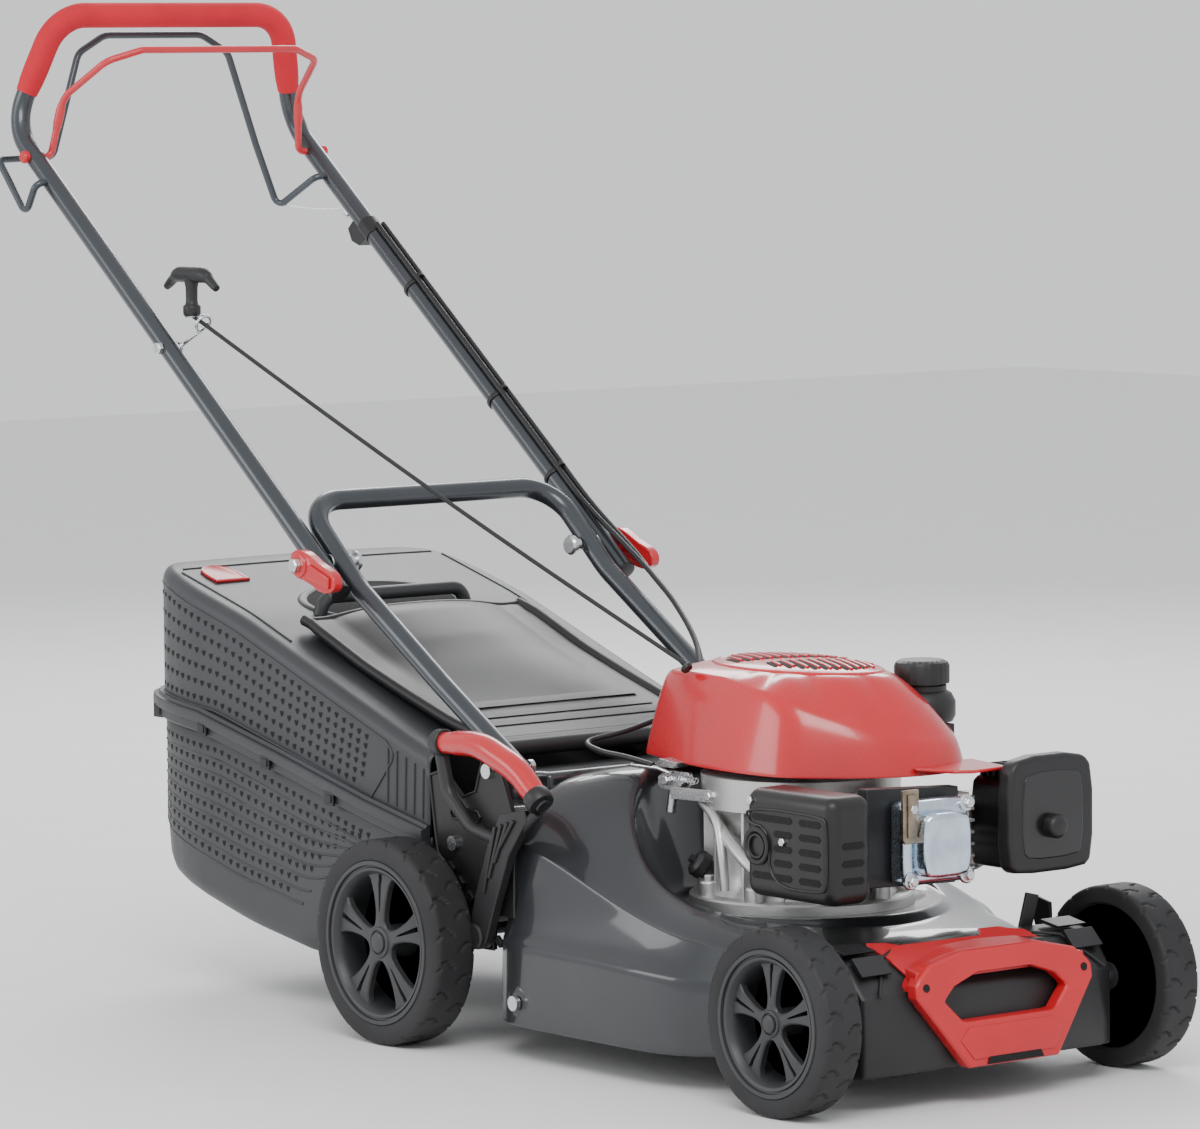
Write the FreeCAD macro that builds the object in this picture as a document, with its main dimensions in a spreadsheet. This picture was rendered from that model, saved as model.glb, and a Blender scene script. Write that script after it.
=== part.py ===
"""Petrol walk-behind lawn mower: steel deck, vertical-shaft engine, folding handle, grass catcher.

Frame: X forward, Y to the mower's left, Z up, ground at z = 0. Millimetres.
"""
import FreeCAD
import Part
import math
import os

V = FreeCAD.Vector
doc = FreeCAD.newDocument("lawn_mower")

# ---------------------------------------------------------------- driving sizes
SIZES = {
    "axle_x": 53.6, "rear_z": 105.0, "front_x": 578.0, "front_z": 90.0, "axle_r": 6.0, "run_gap": 0.08,
    "rear_wheel_r": 105.0, "rear_tyre_in": 84.0, "rear_wheel_w": 50.0, "rear_wheel_y": 245.0,
    "front_wheel_r": 90.0, "front_tyre_in": 71.0, "front_wheel_w": 45.0, "front_wheel_y": 218.5,
    "rim_wall": 5.0, "hub_r": 19.0, "spoke_w": 15.0, "spoke_t": 9.0,
    "deck_w": 452.0, "body_w": 392.0, "deck_wall": 2.5,
    "crank_x": 350.0, "crank_r": 12.5, "blade_len": 404.0, "blade_w": 54.0, "blade_t": 4.0,
    "block_r": 86.0, "flange_r": 112.0, "bowl_r": 150.0, "bowl_z": 160.0,
    "flywheel_r": 84.0, "flywheel_t": 26.0, "pulley_r": 30.0, "belt_t": 6.0, "belt_w": 8.0,
    "cover_wall": 3.0, "cap_r": 28.0, "neck_r": 22.0,
    "tube_r": 11.0, "tube_wall": 1.5, "lower_y": 166.0, "upper_y": 190.0, "foam_r": 14.0,
    "bail_r": 4.0, "rod_r": 4.0, "cable_r": 3.0, "rope_r": 2.25, "bolt_r": 4.0, "bolt_head_r": 7.5,
    "bolt_head_t": 5.0, "stud_r": 7.0, "arm_t": 4.0, "arm_y": 211.0, "front_arm_y": 189.0,
    "plate_t": 4.0, "plate_y": 201.0, "link_y": 236.0, "grip_r": 13.0, "button_r": 9.0, "lever_y": 215.0,
    "catcher_w": 400.0, "catcher_wall": 3.0, "rim_w": 428.0, "flap_w": 298.0,
    "shroud_w": 336.0, "handle_t": 10.0, "tee_r": 7.5, "tee_len": 94.0,
    "exhaust_r": 10.0, "exhaust_wall": 2.0, "exhaust_len": 17.0,
}

sheet = doc.addObject("Spreadsheet::Sheet", "Sizes")
for row, (alias, number) in enumerate(SIZES.items(), start=1):
    sheet.set("A%d" % row, alias)
    sheet.set("B%d" % row, str(number))
    sheet.setAlias("B%d" % row, alias)
doc.recompute()


def size(alias):
    """A driving size, read back from the sheet."""
    return float(getattr(sheet, alias))


AXLE = size("axle_x")
NODES = []


def at(x, y, z):
    """A point whose x is counted from the rear axle."""
    return V(x + AXLE, y, z)


def give(obj, prop, value):
    """Bind a property to a sheet expression, or set a plain number."""
    if isinstance(value, str):
        words = value.split()
        bound = " ".join("Sizes." + word if word in SIZES else word for word in words)
        obj.setExpression(prop, bound)
    else:
        setattr(obj, prop, value)


def node(label, obj):
    """Name an object as one of the mower's pieces."""
    obj.Label = label
    NODES.append(obj)
    return obj


# ---------------------------------------------------------------- primitives
def rod(name, radius, length, base, axis):
    obj = doc.addObject("Part::Cylinder", name)
    give(obj, "Radius", radius)
    give(obj, "Height", length)
    obj.Placement = FreeCAD.Placement(base, FreeCAD.Rotation(V(0, 0, 1), axis))
    return obj


def block(name, low, high, turn=0.0, about=None):
    """A box between two corners, turned about the Y axis through a point."""
    obj = doc.addObject("Part::Box", name)
    obj.Length, obj.Width, obj.Height = high.x - low.x, high.y - low.y, high.z - low.z
    spin = FreeCAD.Placement(V(), FreeCAD.Rotation(V(0, 1, 0), turn), about or low)
    obj.Placement = spin.multiply(FreeCAD.Placement(low, FreeCAD.Rotation()))
    return obj


def boolean(kind, name, base, tools):
    """Base cut by, joined to or shared with the tools."""
    if kind == "Cut":
        obj = doc.addObject("Part::Cut", name)
        tool = tools[0]
        if len(tools) > 1:
            tool = doc.addObject("Part::MultiFuse", name + "_tools")
            tool.Shapes = tools
        obj.Base, obj.Tool = base, tool
    else:
        obj = doc.addObject("Part::Multi" + kind, name)
        obj.Shapes = [base] + tools
    if kind == "Fuse":
        obj.Refine = True
    return obj


def group(name, shapes):
    """Separate solids kept as one piece."""
    obj = doc.addObject("Part::Compound", name)
    obj.Links = shapes
    return obj


def prism(name, plane, outline, length, shift=0.0):
    """A padded body: an outline on XZ, XY or YZ, padded both ways, then moved along its normal."""
    body = doc.addObject("PartDesign::Body", name)
    sketch = body.newObject("Sketcher::SketchObject", name + "_sketch")
    datum = [f for f in body.Origin.OriginFeatures if f.Role == plane + "_Plane"][0]
    sketch.AttachmentSupport = [(datum, "")]
    sketch.MapMode = "FlatFace"
    corners = [V(a, b, 0) for a, b in outline]
    for i, corner in enumerate(corners):
        sketch.addGeometry(Part.LineSegment(corner, corners[(i + 1) % len(corners)]), False)
    pad = body.newObject("PartDesign::Pad", name + "_pad")
    pad.Profile = sketch
    give(pad, "Length", length)
    pad.Midplane = True
    normal = {"XZ": V(0, 1, 0), "XY": V(0, 0, 1), "YZ": V(1, 0, 0)}[plane]
    body.Placement = FreeCAD.Placement(normal * shift, FreeCAD.Rotation())
    return body


def side(outline):
    """Outline points counted from the rear axle, as (x, z) on the XZ plane."""
    return [(x + AXLE, z) for x, z in outline]


def plan(outline):
    """One half of a plan outline, mirrored to both sides."""
    right = [(x + AXLE, -y) for x, y in outline]
    left = [(x + AXLE, y) for x, y in reversed(outline)]
    return right + left


def route(points, bends):
    """Straight runs joined by tangent arcs of the given radii."""
    edges = []
    start = points[0]
    for i, radius in enumerate(bends, start=1):
        into = (points[i] - points[i - 1]).normalize()
        out = (points[i + 1] - points[i]).normalize()
        half = into.getAngle(out) / 2.0
        if half < 1e-4:
            continue
        reach = radius * math.tan(half)
        first = points[i] - into * reach
        last = points[i] + out * reach
        inward = (out - into).normalize()
        centre = points[i] + inward * (radius / math.cos(half))
        if (first - start).Length > 1e-6:
            edges.append(Part.LineSegment(start, first).toShape())
        edges.append(Part.Arc(first, centre - inward * radius, last).toShape())
        start = last
    edges.append(Part.LineSegment(start, points[-1]).toShape())
    return Part.Wire(edges)


def bent_rod(name, points, bends, radius):
    """A round rod swept along a route."""
    spine = doc.addObject("Part::Feature", name + "_route")
    spine.Shape = route(points, bends)
    ring = doc.addObject("Part::Circle", name + "_ring")
    give(ring, "Radius", radius)
    ring.Placement = FreeCAD.Placement(points[0], FreeCAD.Rotation(V(0, 0, 1), points[1] - points[0]))
    sweep = doc.addObject("Part::Sweep", name)
    sweep.Sections = [ring]
    sweep.Spine = (spine, ["Edge%d" % (k + 1) for k in range(len(spine.Shape.Edges))])
    sweep.Solid = True
    sweep.Frenet = False
    return sweep


def mirrored(points):
    """Points of the right-hand half, then the same ones on the left in reverse."""
    return points + [V(p.x, -p.y, p.z) for p in reversed(points)]


Y, Z, X = V(0, 1, 0), V(0, 0, 1), V(1, 0, 0)

# ---------------------------------------------------------------- wheels
SPOKES = 5


def wheel(tag, x, z, sign, radius, bore, width, centre_y):
    """A tyre on a five-spoked wheel with a round hub."""
    w, mid = size(width), sign * size(centre_y)
    low = at(x, mid - w / 2, z)
    tread = rod(tag + "_tread", radius, width, low, Y)
    seat = rod(tag + "_seat", bore, width, low, Y)
    node("tyre_" + tag, boolean("Cut", "tyre_" + tag, tread, [seat]))
    band_out = rod(tag + "_band", bore, width, low, Y)
    band_in = rod(tag + "_band_in", bore + " - rim_wall", width, low, Y)
    band = boolean("Cut", tag + "_band_ring", band_out, [band_in])
    hub = rod(tag + "_hub", "hub_r", width, low, Y)
    spokes = []
    thick = size("spoke_t")
    face = mid + sign * (w / 2 - thick) if sign > 0 else mid - w / 2
    for k in range(SPOKES):
        spoke = doc.addObject("Part::Box", "%s_spoke%d" % (tag, k))
        give(spoke, "Length", bore + " - rim_wall / 2")
        give(spoke, "Width", "spoke_t")
        give(spoke, "Height", "spoke_w")
        seat_at = FreeCAD.Placement(V(0, 0, -size("spoke_w") / 2), FreeCAD.Rotation())
        turn = FreeCAD.Placement(at(x, face, z), FreeCAD.Rotation(Y, -90 + 360.0 * k / SPOKES))
        spoke.Placement = turn.multiply(seat_at)
        spokes.append(spoke)
    web_out = rod(tag + "_web", bore + " - rim_wall / 2", 4.0, at(x, mid - 2, z), Y)
    web_in = rod(tag + "_web_in", "hub_r + 26", 4.0, at(x, mid - 2, z), Y)
    web = boolean("Cut", tag + "_web_ring", web_out, [web_in])
    solid = boolean("Fuse", tag + "_solid", hub, [band, web] + spokes)
    hole = rod(tag + "_hole", "axle_r + run_gap", width, low, Y)
    node("wheel_" + tag, boolean("Cut", "wheel_" + tag, solid, [hole]))


for tag, sign in (("rear_right", -1), ("rear_left", 1)):
    wheel(tag, 0, size("rear_z"), sign, "rear_wheel_r", "rear_tyre_in", "rear_wheel_w", "rear_wheel_y")
for tag, sign in (("front_right", -1), ("front_left", 1)):
    wheel(tag, size("front_x"), size("front_z"), sign, "front_wheel_r", "front_tyre_in",
          "front_wheel_w", "front_wheel_y")

# ---------------------------------------------------------------- deck
CX = size("crank_x")
WALL = size("deck_wall")
SKIRT_PLAN = [(108, 196), (150, 226), (420, 226), (456, 184), (505, 180), (540, 150), (559, 110)]
BODY_PLAN = [(12, 196), (420, 196), (456, 184), (505, 180), (540, 150), (559, 110)]
NOSE = 560


def deck_blank(tag, inset):
    """The deck's closed form, smaller by the wall when inset is 1."""
    d = inset * WALL
    skirt_plan = [(x + (d if i == 0 else -d if i > 4 else 0), y - d) for i, (x, y) in enumerate(SKIRT_PLAN)]
    body_plan = [(x + (-1 if i == 0 and inset else -d if i > 3 else 0), y - d)
                 for i, (x, y) in enumerate(BODY_PLAN)]
    skirt_side = [(104 + d - inset, 36 - 10 * inset), (108 + d, 135 - d), (NOSE - d, 135 - d),
                  (NOSE - d, 40 - 14 * inset)]
    body_side = [(12 - 3 * inset, 176 + d), (12 - 3 * inset, 268 - d), (60, 280 - d), (130, 282 - d),
                 (190, 293 - d), (232 - d, 286 - d), (264 - d, 250 - d), (291 - d, 212 - d),
                 (316 - d, 189 - d),
                 (366, 173 - d), (430, 163 - d), (500, 157 - d), (NOSE - d, 150 - d), (NOSE - d, 60),
                 (108 + d, 60),
                 (108 + d, 176 + d)]
    parts = []
    for part, flat, tall, wide in (("skirt", skirt_plan, skirt_side, "deck_w"),
                                   ("hull", body_plan, body_side, "body_w")):
        across = prism("deck_%s_side_%s" % (part, tag), "XZ", side(tall), wide)
        above = prism("deck_%s_plan_%s" % (part, tag), "XY", plan(flat), 400.0, 200.0)
        parts.append(boolean("Common", "deck_%s_%s" % (part, tag), across, [above]))
    return boolean("Fuse", "deck_blank_" + tag, parts[0], [parts[1]])


# outer and inner height of the sloping shoulder along the deck
SHOULDER = [(110, 226, 300), (257, 184, 260), (340, 158, 184), (460, 139, 166)]


def shoulder_room(tag, s, drop):
    """The space above one sloping shoulder of the deck."""
    body = doc.addObject("PartDesign::Body", "shoulder_" + tag)
    datum = [f for f in body.Origin.OriginFeatures if f.Role == "YZ_Plane"][0]
    sketches = []
    for k, (x, outside, inside) in enumerate(SHOULDER):
        sketch = body.newObject("Sketcher::SketchObject", "shoulder_%s_%d" % (tag, k))
        sketch.AttachmentSupport = [(datum, "")]
        sketch.MapMode = "FlatFace"
        along = x + AXLE + (drop if k == 0 else 0)
        sketch.AttachmentOffset = FreeCAD.Placement(V(0, 0, along), FreeCAD.Rotation())
        spots = [V(s * 201, outside - drop, 0), V(s * 140, inside - drop, 0), V(s * 140, 320, 0),
                 V(s * 201, 320, 0)]
        for i, spot in enumerate(spots):
            sketch.addGeometry(Part.LineSegment(spot, spots[(i + 1) % len(spots)]), False)
        sketches.append(sketch)
    loft = body.newObject("PartDesign::AdditiveLoft", "shoulder_loft_" + tag)
    loft.Profile = sketches[0]
    loft.Sections = sketches[1:]
    loft.Ruled = True
    return body


outer = boolean("Cut", "deck_outer", deck_blank("outer", 0),
                [shoulder_room("outer%d" % s, s, 0.0) for s in (-1, 1)])
inner = boolean("Cut", "deck_inner", deck_blank("inner", 1),
                [shoulder_room("inner%d" % s, s, 4.0) for s in (-1, 1)])
bowl = rod("deck_bowl", "bowl_r", 200.0, at(CX, 0, size("bowl_z")), Z)
bowl_under = rod("deck_bowl_under", "bowl_r + deck_wall", 200.0, at(CX, 0, size("bowl_z") - WALL), Z)
pan = boolean("Cut", "deck_pan", outer, [bowl])
void = boolean("Cut", "deck_void", inner, [bowl_under])
shaft_hole = rod("deck_shaft_hole", 24.0, 40.0, at(CX, 0, 140), Z)
belt_slot = block("deck_belt_slot", at(100, -48, 112), at(116, 48, 160))
tube_rest = [block("deck_rest_%d" % s, at(0, min(s * 148, s * 200), 252), at(150, max(s * 148, s * 200), 320))
             for s in (-1, 1)]
node("deck", boolean("Cut", "deck", pan, [void, shaft_hole, belt_slot] + tube_rest))

# ---------------------------------------------------------------- height adjustment
PIVOT = (106, 119)
FRONT_PIVOT = (472, 104)
ARM_TAB = 40.0
brackets = []
for s in (-1, 1):
    outline = [(8, 272), (30, 279), (62, 254), (84, 262), (96, 296), (124, 290), (146, 240), (146, 140),
               (111.6, 140), (111.6, 104), (86, 104), (19, 196)]
    plate = prism("bracket_plate%d" % s, "XZ", side(outline), "plate_t", s * size("plate_y"))
    slot = block("bracket_slot%d" % s, at(44, s * size("plate_y") - 3, 232),
                 at(86, s * size("plate_y") + 3, 241))
    hole = rod("bracket_hole%d" % s, "bolt_r", 10.0, at(106, s * size("plate_y") - 5, 284.5), Y)
    brackets.append(boolean("Cut", "bracket%d" % s, plate, [slot, hole]))
node("handle_brackets", group("handle_brackets", brackets))

studs = []
for s in (-1, 1):
    inside = s * (size("plate_y") + size("plate_t") / 2)
    studs.append(rod("stud_rear%d" % s, "stud_r", 12.0, at(PIVOT[0], inside, PIVOT[1]), Y * s))
    studs.append(rod("stud_front%d" % s, "stud_r", 9.0, at(FRONT_PIVOT[0], s * 184, FRONT_PIVOT[1]), Y * s))


def link_plate(tag, pivot, end, tab, y, radius):
    """A flat arm from its pivot to the axle, with a tab for the link rod."""
    (px, pz), (ex, ez), (tx, tz) = pivot, end, tab
    run = math.hypot(ex - px, ez - pz)
    nx, nz = -(ez - pz) / run * radius, (ex - px) / run * radius
    bar = prism(tag + "_bar", "XZ", side([(px + nx, pz + nz), (ex + nx, ez + nz), (ex - nx, ez - nz),
                                          (px - nx, pz - nz)]), "arm_t", y)
    low = y - size("arm_t") / 2
    pieces = [rod(tag + "_eye", radius, "arm_t", at(px, low, pz), Y),
              rod(tag + "_boss", radius, "arm_t", at(ex, low, ez), Y),
              prism(tag + "_tab", "XZ", side([(px - 9, pz), (px + 9, pz), (tx + 9, tz), (tx - 9, tz)]),
                    "arm_t", y),
              rod(tag + "_tab_end", 9.0, "arm_t", at(tx, low, tz), Y)]
    solid = boolean("Fuse", tag + "_solid", bar, pieces)
    holes = [rod(tag + "_pivot", "stud_r + run_gap", "arm_t", at(px, low, pz), Y),
             rod(tag + "_axle", "axle_r", "arm_t", at(ex, low, ez), Y)]
    return boolean("Cut", tag, solid, holes)


rear_tab = (PIVOT[0], PIVOT[1] + ARM_TAB)
front_tab = (FRONT_PIVOT[0], FRONT_PIVOT[1] - ARM_TAB)
arms = [link_plate("rear_arm%d" % s, PIVOT, (0, size("rear_z")), rear_tab, s * size("arm_y"), 13.0)
        for s in (-1, 1)]
rear_rod = rod("rear_axle_rod", "axle_r", 536.0, at(0, -268, size("rear_z")), Y)
rear_pin = rod("rear_link_pin", 5.0, 27.0, at(rear_tab[0], size("arm_y") + 2, rear_tab[1]), Y)
node("rear_axle", boolean("Fuse", "rear_axle", rear_rod, arms + [rear_pin]))

front_arms = [link_plate("front_arm%d" % s, FRONT_PIVOT, (size("front_x"), size("front_z")), front_tab,
                         s * size("front_arm_y"), 12.0) for s in (-1, 1)]
front_rod = rod("front_axle_rod", "axle_r", 478.0, at(size("front_x"), -239, size("front_z")), Y)
front_pin = rod("front_link_pin", 5.0, 49.0, at(front_tab[0], size("front_arm_y") + 2, front_tab[1]), Y)
node("front_axle", boolean("Fuse", "front_axle", front_rod, front_arms + [front_pin]))

link_low = size("link_y") - 3
dx, dz = front_tab[0] - rear_tab[0], front_tab[1] - rear_tab[1]
slope = math.degrees(math.atan2(-dz, dx))
reach = math.hypot(dx, dz)
about = at(rear_tab[0], 0, rear_tab[1])
bar = block("link_bar", at(rear_tab[0], link_low, rear_tab[1] - 5), at(rear_tab[0] + reach, link_low + 6,
                                                                       rear_tab[1] + 5), slope, about)
eyes = [rod("link_eye%d" % k, 10.0, 6.0, at(x, link_low, z), Y) for k, (x, z) in
        enumerate((rear_tab, front_tab))]
link = boolean("Fuse", "link_solid", bar, eyes)
holes = [rod("link_hole_rear", "5 + run_gap", 6.0, at(rear_tab[0], link_low, rear_tab[1]), Y),
         rod("link_hole_front", 8.5, 6.0, at(front_tab[0], link_low, front_tab[1]), Y)]
node("link_rod", boolean("Cut", "link_rod", link, holes))

LY = -size("lever_y")
LEVER_MID = LY - 1.3
column = [(94, 119), (118, 119), (133, 153), (158, 208), (184, 240), (160, 252), (134, 216), (108, 160)]
lever = prism("lever_body", "XZ", side(column), 6.0, LEVER_MID)
eye = rod("lever_eye", 13.0, 6.0, at(PIVOT[0], LEVER_MID - 3, PIVOT[1]), Y)
eye_hole = rod("lever_hole", "stud_r + run_gap", 12.0, at(PIVOT[0], LEVER_MID - 6, PIVOT[1]), Y)
bow = bent_rod("lever_bow", [at(160, LY, 240), at(178, LY, 250), at(190, LY, 262)], [20.0], 8.0)
heel = bent_rod("lever_heel", [at(52, LY, 306), at(58, LY, 270), at(96, LY, 236), at(142, LY, 222)],
                [26.0, 26.0], 7.0)
lever = boolean("Fuse", "lever_solid", lever, [eye, bow, heel])
node("height_lever", boolean("Cut", "height_lever", lever, [eye_hole]))
arch = [at(47, LY, 309), at(106, LY, 313), at(168, LY, 292), at(206, LY, 261)]
along = (arch[3] - arch[2]).normalize()
arch_rod = bent_rod("lever_arch", arch, [110.0, 90.0], "grip_r")
pocket = rod("lever_pocket", "button_r + run_gap", 12.0, arch[3] - along * 8, along)
node("lever_grip", boolean("Cut", "lever_grip", arch_rod, [pocket]))
node("lever_button", rod("lever_button", "button_r", 12.0, arch[3] - along * 1.5, along))

# ---------------------------------------------------------------- drive
case = block("gearbox_case", at(-28, -36, 78), at(64, 36, 126))
case_hole = rod("gearbox_axle_hole", "axle_r", 72.0, at(0, -36, size("rear_z")), Y)
case_cut = boolean("Cut", "gearbox_cut", case, [case_hole])
spigot = rod("gearbox_shaft", 6.0, 18.0, at(36, 0, 126), Z)
node("gearbox", boolean("Fuse", "gearbox", case_cut, [spigot]))
sheave = rod("drive_pulley_disc", "pulley_r", 12.0, at(36, 0, 129), Z)
sheave_hole = rod("drive_pulley_hole", "6 + run_gap", 12.0, at(36, 0, 129), Z)
node("drive_pulley", boolean("Cut", "drive_pulley", sheave, [sheave_hole]))


def loop(name, radius, grow, z, height):
    """A closed belt outline round the two pulleys."""
    r = size("pulley_r") + grow
    ends = [rod(name + "_a", radius, height, at(36, 0, z), Z),
            rod(name + "_b", radius, height, at(CX, 0, z), Z)]
    run = block(name + "_run", at(36, -r, z), at(CX, r, z + size("belt_w")))
    return boolean("Fuse", name, run, ends)


belt_out = loop("belt_outer", "pulley_r + belt_t + 0.5", size("belt_t") + 0.5, 131, "belt_w")
belt_in = loop("belt_inner", "pulley_r + 0.5", 0.5, 131, "belt_w")
node("drive_belt", boolean("Cut", "drive_belt", belt_out, [belt_in]))

# ---------------------------------------------------------------- engine, turning parts
shaft = rod("shaft_rod", "crank_r", 236.0, at(CX, 0, 66), Z)
boss = rod("shaft_boss", 24.0, 60.0, at(CX, 0, 66), Z)
sheave = rod("shaft_sheave", "pulley_r", 12.0, at(CX, 0, 129), Z)
node("crankshaft", boolean("Fuse", "crankshaft", shaft, [boss, sheave]))
node("flywheel", rod("flywheel", "flywheel_r", "flywheel_t", at(CX, 0, 302), Z))
half = size("blade_len") / 2
tip = size("blade_w") / 2
wing = prism("blade_flat", "XY", [(CX + AXLE - half, -tip), (CX + AXLE + half, -tip),
                                  (CX + AXLE + half, tip), (CX + AXLE - half, tip)], "blade_t", 64.0)
swing = rod("blade_swing", "blade_len / 2", 20.0, at(CX, 0, 54), Z)
flat = boolean("Common", "blade_round", wing, [swing])
sails = [block("blade_sail%d" % s, at(CX + s * 172 - 26, s * 19 - 6, 64),
               at(CX + s * 172 + 26, s * 19 + 6, 76))
         for s in (-1, 1)]
node("blade", boolean("Fuse", "blade", flat, sails))
node("blade_bolt", rod("blade_bolt", 13.0, 9.0, at(CX, 0, 53), Z))

# ---------------------------------------------------------------- engine, fixed parts
barrel = rod("crankcase_barrel", "block_r", 130.0, at(CX, 0, 164), Z)
foot = rod("crankcase_foot", "flange_r", 12.0, at(CX, 0, 160), Z)
lugs = []
for k in range(6):
    turn = math.radians(60.0 * k + 30.0)
    spot = at(CX + 94 * math.cos(turn), 94 * math.sin(turn), 160)
    lugs.append(rod("crankcase_lug%d" % k, 11.0, 42.0, spot, Z))
case = boolean("Fuse", "crankcase_solid", barrel, [foot] + lugs)
bore = rod("crankcase_bore", "crank_r + run_gap", 150.0, at(CX, 0, 150), Z)
sump = rod("crankcase_sump", "block_r - 24", 96.0, at(CX, 0, 178), Z)
gallery = rod("crankcase_sleeve", 24.0, 96.0, at(CX, 0, 178), Z)
room = boolean("Cut", "crankcase_room", sump, [gallery])
DIP = V(-0.36, -0.72, 0.59).normalize()
dip_foot = at(318, -72, 182)
spout = rod("dip_spout", 9.0, 26.0, dip_foot, DIP)
case = boolean("Fuse", "crankcase_spouted", case, [spout])
node("crankcase", boolean("Cut", "crankcase", case, [room, bore]))

fins = [block("cylinder_fin%d" % k, at(442 + 13 * k, -50, 206), at(447 + 13 * k, 52, 290)) for k in range(8)]
core = block("cylinder_core", at(430, -36, 214), at(545, 38, 282))
core_cut = rod("cylinder_seat", "block_r", 200.0, at(CX, 0, 120), Z)
jug = boolean("Fuse", "cylinder_solid", core, fins)
node("cylinder", boolean("Cut", "cylinder", jug, [core_cut]))

lid = block("valve_lid", at(545, -58, 201), at(572, 26, 283))
panel = block("valve_panel", at(572, -50, 212), at(590, 14, 270))
node("valve_cover", boolean("Fuse", "valve_cover", lid, [panel]))
heads = [rod("valve_bolt%d" % k, 5.0, 5.0, at(572, y, z), X)
         for k, (y, z) in enumerate(((-53.5, 206), (21, 206), (-53.5, 278), (21, 278)))]

OUTLET_X, OUTLET_Z = 463, 240
can = block("muffler_can", at(450, -141, 202), at(562, -101, 284))
port = rod("muffler_port", "exhaust_r + exhaust_wall", "exhaust_len", at(OUTLET_X, -138, OUTLET_Z), Y * -1)
tail = rod("muffler_bore", "exhaust_r", "exhaust_len + 10", at(OUTLET_X, -132, OUTLET_Z), Y * -1)
elbow = rod("muffler_elbow", 11.0, 50.6, at(500, -101.0, 246), Y)
chamber = block("muffler_chamber", at(453, -138, 205), at(559, -104, 281))
whole = boolean("Fuse", "muffler_solid", can, [port, elbow])
node("muffler", boolean("Cut", "muffler", whole, [tail, chamber]))
shell = block("guard_shell", at(442, -152, 190), at(571, -98, 295))
hollow = block("guard_hollow", at(444, -150, 192), at(569, -96, 293))
mouth = rod("guard_mouth", "exhaust_r + 4", 20.0, at(OUTLET_X, -140, OUTLET_Z), Y * -1)
slots = []
for column_x in (505, 545):
    for k in range(5):
        slots.append(block("guard_slot%d_%d" % (column_x, k), at(column_x - 16, -156, 212 + 14 * k),
                           at(column_x + 16, -148, 219 + 14 * k)))
node("muffler_guard", boolean("Cut", "muffler_guard", shell, [hollow, mouth] + slots))

node("spark_plug", boolean("Fuse", "spark_plug", rod("plug_body", 8.0, 34.0, at(546, -44, 292), X),
                           [block("plug_tab", at(566, -56, 284.5), at(582, -38, 304))]))
bowl_cup = rod("carb_cup", 17.0, 34.0, at(484, 104, 196), Z)
carb_body = block("carb_body", at(462, 84, 230), at(508, 124, 272))
inlet = rod("carb_inlet", 13.0, 34.0, at(484, 52.2, 250), Y)
node("carburettor", boolean("Fuse", "carburettor", carb_body, [bowl_cup, inlet]))

box_low, box_high = at(509, 78, 204), at(576, 180, 292)
filter_box = block("filter_box", box_low, box_high)
filter_rim = block("filter_rim", at(538, 72, 200), at(548, 186, 318))
filter_top = block("filter_top", at(509, 84, 290), at(564, 174, 316))
node("air_filter_box", boolean("Fuse", "air_filter_box", filter_box, [filter_rim, filter_top]))
node("air_filter_knob", rod("air_filter_knob", 12.0, 14.0, at(576.4, 128, 246), X))

COVER_PLAN = [(150, -48), (212, -70), (302, -93), (398, -96), (438, -80), (474, -40), (500, 4), (505, 45),
              (496, 88), (466, 114), (424, 144), (300, 156), (190, 122), (146, 60)]
COVER_TOP = [(197, -28), (243, -44), (309, -61), (380, -63), (410, -51), (437, -22), (456, 11), (452, 26),
             (440, 46), (420, 66), (384, 84), (306, 112), (226, 98), (194, 52)]


def cover_blank(tag, shrink, lift):
    """The engine cover as a low wall with a sloping crown."""
    cx, cy = 330.0, 30.0

    def ring(points):
        return [(cx + (x - cx) * (1 - shrink / 170.0) + AXLE, cy + (y - cy) * (1 - shrink / 120.0))
                for x, y in points]
    wall_h = 44.0
    wall = prism("cover_wall_" + tag, "XY", ring(COVER_PLAN), wall_h, 296.0 + wall_h / 2 - lift)
    body = doc.addObject("PartDesign::Body", "cover_crown_" + tag)
    datum = [f for f in body.Origin.OriginFeatures if f.Role == "XY_Plane"][0]
    sketches = []
    for k, (points, z) in enumerate(((COVER_PLAN, 296.0 + wall_h - lift), (COVER_TOP, 398.0 - lift))):
        sketch = body.newObject("Sketcher::SketchObject", "cover_%s_%d" % (tag, k))
        sketch.AttachmentSupport = [(datum, "")]
        sketch.MapMode = "FlatFace"
        sketch.AttachmentOffset = FreeCAD.Placement(V(0, 0, z), FreeCAD.Rotation())
        spots = [V(x, y, 0) for x, y in ring(points)]
        for i, spot in enumerate(spots):
            sketch.addGeometry(Part.LineSegment(spot, spots[(i + 1) % len(spots)]), False)
        sketches.append(sketch)
    loft = body.newObject("PartDesign::AdditiveLoft", "cover_loft_" + tag)
    loft.Profile = sketches[0]
    loft.Sections = [sketches[1]]
    loft.Ruled = True
    return boolean("Fuse", "cover_blank_" + tag, wall, [body])


cover_out = cover_blank("outer", 0.0, 0.0)
cover_in = cover_blank("inner", size("cover_wall"), size("cover_wall"))
neck_hole = rod("cover_neck_hole", "cap_r + 2", 80.0, at(405, 112, 330), Z)
rope_hole = rod("cover_rope_hole", "rope_r + 4", 60.0, at(262, -72, 378), V(0.5, 0.7, -0.5))
vents = [block("cover_vent%d" % k, at(286 + 22 * k, -34, 392), at(294 + 22 * k, 34, 402)) for k in range(6)]
node("engine_cover", boolean("Cut", "engine_cover", cover_out, [cover_in, neck_hole, rope_hole] + vents))

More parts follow.
